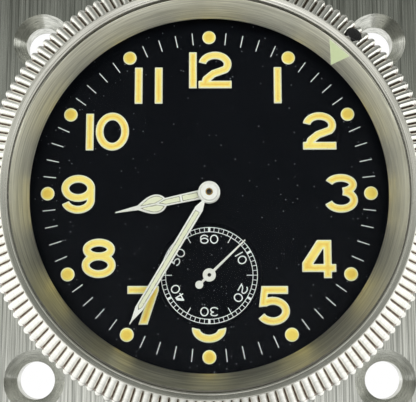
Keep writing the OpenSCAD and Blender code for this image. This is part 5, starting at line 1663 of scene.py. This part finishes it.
    def build(self) -> None:
        """Makes and dresses the dial."""
        show("dial_disc", self.disc(), DIAL_BLACK, "head", "dial_black", ("dial",), crease=50)
        show("dial_numerals", self.paint(), DIAL_LUME, "head", "dial_lume", ("hour_numerals",), crease=50)
        show("dial_dots", self.dots(), DOT_LUME, "head", "dial_lume", ("hour_dots",), crease=50)
        show("dial_minute_lines", self.ticks(), PRINT_WHITE, "head", "dial_black")
        small = joined([self.rails(), self.small_marks()]).moved(0, self.small_y, -self.sink)
        show("dial_seconds_scale", small, PRINT_WHITE, "head", "dial_black")


@dataclass
class Hands:
    """The three hands: painted frames filled with luminous paint.

    Args:
        hour_len: From the centre to the hour hand's tip.
        minute_len: The same of the minute hand.
        seconds_len: The same of the seconds hand.
        hour_angle: Where the hour hand points, clockwise from 12 in degrees.
        minute_angle: The same of the minute hand.
        seconds_angle: The same of the seconds hand.
        thickness: Of each hand.
        hour_z: Height of the hour hand's underside.
        minute_z: The same of the minute hand.
        seconds_z: The same of the seconds hand.
        boss_r: Radius of the boss at the centre.
        seconds_y: Height of the small dial's centre on the dial.
    """

    hour_len: float = 10.8
    minute_len: float = 17.15
    seconds_len: float = 5.65
    hour_angle: float = 257.9
    minute_angle: float = 210.8
    seconds_angle: float = 45.7
    thickness: float = 0.18
    hour_z: float = 0.6
    minute_z: float = 1.15
    seconds_z: float = 0.2
    boss_r: float = 1.24
    seconds_y: float = -9.25

    def leaf(self, rail: float = 0.0) -> Array:
        """The hour hand's leaf: half-width 1.08 cos(90 u)^0.42 behind its widest place and ^1.25 before it.

        Args:
            rail: Width of the frame that is taken off all round.
        """
        rear, wide, front = 4.9 + rail * 1.2, 6.15, 8.75 - rail * 3.2
        d = np.concatenate([np.linspace(rear, wide, 14)[:-1], np.linspace(wide, front, 22)])
        u = np.where(d < wide, (wide - d) / (wide - rear), (d - wide) / (front - wide))
        w = (1.08 - rail) * np.clip(np.cos(u * math.pi / 2), 1e-4, 1) ** np.where(d < wide, 0.42, 1.25)
        return np.vstack([np.column_stack([w, d]), np.column_stack([-w, d])[::-1]])

    def hour_windows(self) -> Field:
        """What the frame leaves open: two panes in the stem and one on each side of the leaf."""
        half = 0.33
        lower = mirrored([(half, 1.29), (half, 3.12)])
        upper = mirrored([(half, 3.36), (half - 0.05, 5.1), (0, 5.85)])
        spine = mirrored([(0.46, 4.0), (0.43, 5.15), (0.1, 6.15), (0.09, 9.5)])
        return union(lower, upper, cut(shape_field(self.leaf(0.17)), spine))

    def filled(
        self, outline: Field, window: Field, bore_r: float, z: float, length: float,
    ) -> tuple[Shell, Shell]:
        """A hand as its metal frame and the paint in its window.

        Args:
            outline: The hand with its boss.
            window: What the frame leaves open.
            bore_r: Radius of the hole at the centre.
            z: Height of the underside.
            length: From the centre to the tip.
        """
        side, top = 1.35, z + self.thickness
        box = ((-side, -side), (side, length + 0.15))
        metal = Relief(z, top, edge=0.05, step=0.045)
        paint = Relief(z + 0.02, top - 0.03, edge=0.05, step=0.06)
        frame_body = cut(outline, window, disc_field(0, 0, bore_r))
        return metal.shell(frame_body, *box), paint.shell(grown(window, 0.005), *box)

    def hour(self) -> tuple[Shell, Shell]:
        """The hour hand's frame, of stem, leaf, point and boss, and its paint."""
        stem = mirrored([(0.54, 0.9), (0.45, 5.15), (0.26, 8.2), (0.06, self.hour_len)])
        outline = union(stem, shape_field(self.leaf()), disc_field(0, 0, self.boss_r))
        return self.filled(outline, self.hour_windows(), 1.01, self.hour_z, self.hour_len)

    def minute(self) -> tuple[Shell, Shell]:
        """The minute hand's frame, of blade and boss, and its paint."""
        side = [(0.22, 0.8), (0.2, 1.35), (0.48, 2.2), (0.44, 15.18), (0.1, 16.6), (0.05, self.minute_len)]
        outline = union(mirrored(side), disc_field(0, 0, self.boss_r - 0.1))
        window = mirrored([(0.27, 2.55), (0.25, 14.9), (0, 15.35)])
        return self.filled(outline, window, 0.9, self.minute_z, self.minute_len)

    def hub(self) -> Shell:
        """The minute hand's boss: a rounded washer with a raised collar and a pit for the arbor."""
        z = self.minute_z
        profile = softened([
            (0.40, z + 0.2), (0.40, z + 0.47), (0.95, z + 0.47), (1.0, z + 0.24), (self.boss_r, z + 0.20),
            (self.boss_r, z), (0.64, z), (0.64, z + 0.2),
        ], 0.09, steps=5)
        return turned_profile(profile, 96)

    @staticmethod
    def pin(r: float, low: float, high: float) -> Shell:
        """A dark pin's round end: height falls from the middle as a parabola."""
        t = np.linspace(0, 1, 7)
        dome = np.column_stack([r * t, high - 0.25 * r * t**2])
        return turned_profile(np.vstack([dome, [(r, low), (0, low)]]), 40, closed=False)

    def seconds(self) -> Shell:
        """The seconds hand: a tapered needle, a round hub and a round counterweight."""
        tail = -1.56
        needle = mirrored([(0.12, tail), (0.16, 0.2), (0.08, self.seconds_len)])
        body = union(needle, disc_field(0, 0, 0.74), disc_field(0, tail, 0.45))
        slab = Relief(self.seconds_z, self.seconds_z + self.thickness, edge=0.06, step=0.04)
        return slab.shell(cut(body, disc_field(0, 0, 0.21)), (-0.85, -2.1), (0.85, self.seconds_len + 0.1))

    def build(self) -> None:
        """Makes and dresses the hands."""
        hour, hour_paint = (shell.turned(self.hour_angle) for shell in self.hour())
        blade, minute_paint = (shell.turned(self.minute_angle) for shell in self.minute())
        minute = joined([blade, self.hub().turned(self.minute_angle)])
        seconds = self.seconds().turned(self.seconds_angle).moved(0, self.seconds_y)
        for name, shell, finish, body, slot, stands_for in (
            ("hour_hand_frame", hour, HAND_WHITE, "hour_group", "hand_white", "hour_hand"),
            ("hour_hand_paint", hour_paint, HAND_LUME, "hour_group", "hand_lume", "hour_hand_lume"),
            ("minute_hand_frame", minute, HAND_WHITE, "minute_group", "hand_white", "minute_hand"),
            ("minute_hand_paint", minute_paint, HAND_LUME, "minute_group", "hand_lume", "minute_hand_lume"),
            ("seconds_hand_frame", seconds, HAND_WHITE, "seconds_group", "hand_white", "seconds_hand"),
        ):
            show(name, shell, finish, body, slot, (stands_for,), crease=60)
        small = self.pin(0.2, 0.3, 0.43).moved(0, self.seconds_y)
        show("minute_hub_pin", self.pin(0.39, 1.45, 1.66), PIN_STEEL, "minute_group", "movement_steel")
        show("seconds_hub_pin", small, PIN_STEEL, "seconds_group", "movement_steel")


@dataclass
class Crown:
    """The crown at 3 o'clock: a ridged rim with a domed end, bored for its tube.

    Args:
        radius: Of the ridges.
        x: Distance of the inner face from the clock's centre.
        length: Along the stem.
        ridges: How many there are.
        depth: Of the grooves between them.
        bore: Radius and depth of the bore for the tube.
        soft: Rounding of the profile's corners.
    """

    radius: float = 3.4
    x: float = 25.9
    length: float = 4.0
    ridges: int = 30
    depth: float = 0.3
    bore: Pair = (1.6, 2.0)
    soft: float = 0.14

    def knurled(self) -> Shell:
        """A profile turned about the stem, its side sunk between the ridges as |sin|^0.6 of the angle."""
        r, x0, x1 = self.radius, self.x, self.x + self.length
        bore_r, floor = self.bore[0], x0 + self.bore[1]
        base = softened([
            (bore_r, x0), (r - 0.3, x0), (r, x0 + 0.3), (r, x1 - 0.6), (r - 0.6, x1 - 0.1),
            (0, x1), (0, floor), (bore_r, floor),
        ], self.soft, steps=5)
        a = np.linspace(0, 2 * math.pi, self.ridges * 12, endpoint=False)[:, None]
        inside = np.clip((base[:, 0] - (r - 0.5)) / 0.4, 0, 1) * np.clip((x1 - 0.35 - base[:, 1]) / 0.3, 0, 1)
        groove = np.abs(np.sin(a * self.ridges / 2)) ** 0.6
        rr = base[None, :, 0] - self.depth * (1 - groove) * inside[None]
        grid = np.stack([rr * np.cos(a), rr * np.sin(a), base[None, :, 1] + 0 * a], -1)
        return sheet_of(grid, wrap_u=True, wrap_v=True).stood().moved(0, 0, -STEM_DROP)

    def build(self) -> None:
        """Makes and dresses the crown."""
        show("crown_knurled", self.knurled(), CROWN_STEEL, "crown_group", "case_steel", ("crown",), crease=50)


class Carried(Enum):
    """CAD nodes whose shape is kept, by the finish they get."""

    PLATE = (PLATE_STEEL, ("mounting_plate",))
    CASE = (CASE_STEEL, ("case_body", "case_back", "crown_tube"))
    RUBBER = (RUBBER, ("case_back_gasket",))
    SCREWS = (SCREW_STEEL, ("case_screws", "clamp_screws", "bridge_screws"))
    SPRINGS = (SPRING_STEEL, ("bezel_spring_ring", "click_spring", "mainspring", "hairspring"))
    STEEL = (WORK_STEEL, (
        "winding_stem", "winding_pinion", "sliding_pinion", "setting_wheel", "crown_wheel", "ratchet_wheel",
        "click", "casing_clamps", "barrel_arbor", "escape_wheel", "pallet_fork", "cannon_pinion",
    ))
    ALLOY = (ALLOY, ("movement_ring",))
    GILT = (GILT, ("main_plate", "barrel_bridge", "train_bridge", "balance_cock", "pallet_bridge"))
    BRASS = (BRASS, (
        "barrel_drum", "barrel_cover", "centre_wheel", "third_wheel", "fourth_wheel", "balance_wheel",
        "minute_wheel", "hour_wheel",
    ))
    RUBIES = (RUBY, ("jewels", "pallet_stones"))

    def dress(self) -> None:
        """Gives each node its material."""
        finish, nodes = self.value
        for name in nodes:
            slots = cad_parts[name].data.materials
            slots.clear()
            slots.append(finish.material())
            LOG.info("%s: %s", name, finish.name)


@dataclass(frozen=True)
class Lamp:
    """A soft area lamp.

    Args:
        name: Its name.
        at: Its place in metres.
        size: Its width and height in metres.
        level: Its radiance; 1 looks white.
    """

    name: str
    at: tuple[float, float, float]
    size: tuple[float, float]
    level: float

    def build(self) -> None:
        """Hangs the lamp facing the clock."""
        data = bpy.data.lights.new(self.name, "AREA")
        data.shape = "RECTANGLE"
        data.size, data.size_y = self.size
        data.energy = self.level * self.size[0] * self.size[1] * math.pi
        lamp = bpy.data.objects.new(self.name, data)
        lamp.location = self.at
        lamp.visible_glossy = False
        lamp.rotation_euler = (Vector((0, -0.013, 0)) - Vector(self.at)).to_track_quat("-Z", "Y").to_euler()
        bpy.context.scene.collection.objects.link(lamp)


@dataclass
class Studio:
    """Pale floor, soft lamps, white surroundings and the camera.

    Args:
        lamps: The soft lamps.
        lens: The camera's focal length in mm, on a sensor 36 mm wide.
        camera_at: The camera's place in metres.
        camera_turn: The camera's turn in radians.
        floor_z: Height of the floor in metres, just under the plate's lower edge.
        floor_half: Half the floor's width in metres.
        sky: What the metal sees behind the camera, from straight below to straight above, sRGB.
        pale: The room's bright walls, sRGB.
        fill: What matt surfaces get from all round, sRGB.
        side_glow: How much brighter than white the metal sees the bright sides.
    """

    lamps: tuple[Lamp, ...] = (
        Lamp("lamp_left", (-0.27, -0.36, 0.075), (0.34, 0.20), 3.6),
        Lamp("lamp_right", (0.27, -0.36, 0.075), (0.34, 0.20), 3.6),
    )
    lens: float = 83.68
    camera_at: tuple[float, float, float] = (0.00038, -0.12232, -0.01728)
    camera_turn: tuple[float, float, float] = (math.pi / 2 + 0.1504, 0.00087, 0.0049)
    floor_z: float = -0.0302
    floor_half: float = 1.5
    sky: tuple[tuple[float, Colour], ...] = (
        (0.0, (255, 255, 252)), (0.07, (236, 236, 231)), (0.17, (184, 186, 181)), (0.30, (148, 151, 146)),
        (0.55, (104, 106, 102)), (0.85, (150, 151, 147)), (1.0, (160, 161, 157)),
    )
    pale: Colour = (255, 255, 252)
    fill: Colour = (170, 171, 172)
    side_glow: float = 0.6

    def camera(self) -> None:
        """The photograph's own view: 122 mm off, below the middle and looking up."""
        data = bpy.data.cameras.new("photo_camera")
        data.sensor_width = 36.0
        data.lens = self.lens
        data.clip_start = 0.005
        camera = bpy.data.objects.new("photo_camera", data)
        camera.location = self.camera_at
        camera.rotation_euler = self.camera_turn
        bpy.context.scene.collection.objects.link(camera)
        bpy.context.scene.camera = camera

    def floor(self) -> None:
        """A plain pale floor under the plate's lower edge."""
        mesh = bpy.data.meshes.new("floor")
        e, z = self.floor_half, self.floor_z
        mesh.from_pydata([(-e, -e, z), (e, -e, z), (e, e, z), (-e, e, z)], [], [(0, 1, 2, 3)])
        mesh.materials.append(PAPER.material())
        floor = bpy.data.objects.new("floor", mesh)
        bpy.context.scene.collection.objects.link(floor)

    def surroundings(self) -> None:
        """White behind the clock; for metal a room that is bright low down, at the sides and high left."""
        world = bpy.data.worlds.new("studio")
        bpy.context.scene.world = world
        world.use_nodes = True
        world.node_tree.nodes.clear()
        g = Graph(world.node_tree)
        x, y, z = g.parts(g.node("ShaderNodeTexCoord").outputs["Generated"])
        side = g.times(g.fit(g.math("ABSOLUTE", x), 0.80, 0.95), g.fit(z, 0.55, 0.35))
        window = g.times(g.fit(x, -0.3, -0.75, 0.0, 0.85), g.fit(z, 1.0, 0.6))
        bright = g.most(g.most(side, window), g.fit(y, 0.15, 0.5))
        room = g.blend(bright, g.ramp(z, *self.sky), self.pale)
        colour = g.blend(g.rays("Diffuse"), room, self.fill)
        colour = g.blend(g.rays("Camera", "Transmission"), colour, (255, 255, 255))
        glow = g.times(g.times(side, g.rays("Glossy")), self.side_glow)
        back = g.node("ShaderNodeBackground")
        g.feed(back.inputs["Color"], colour)
        g.feed(back.inputs["Strength"], g.plus(1.0, glow))
        g.feed(g.node("ShaderNodeOutputWorld").inputs["Surface"], back.outputs[0])

    def build(self) -> None:
        """Sets up camera, floor, surroundings and lamps."""
        self.camera()
        self.floor()
        self.surroundings()
        for lamp in self.lamps:
            lamp.build()
        bpy.context.scene.view_settings.view_transform = "Standard"


def main() -> None:
    """Builds the clock piece by piece."""
    logging.basicConfig(level=logging.INFO, format="%(name)s %(message)s")
    Studio().build()
    for group in Carried:
        group.dress()
    for assembly in (Bezel(), Glazing(), Dial(), Hands(), Crown()):
        assembly.build()
    bpy.context.view_layer.update()


if __name__ == "__main__":
    main()
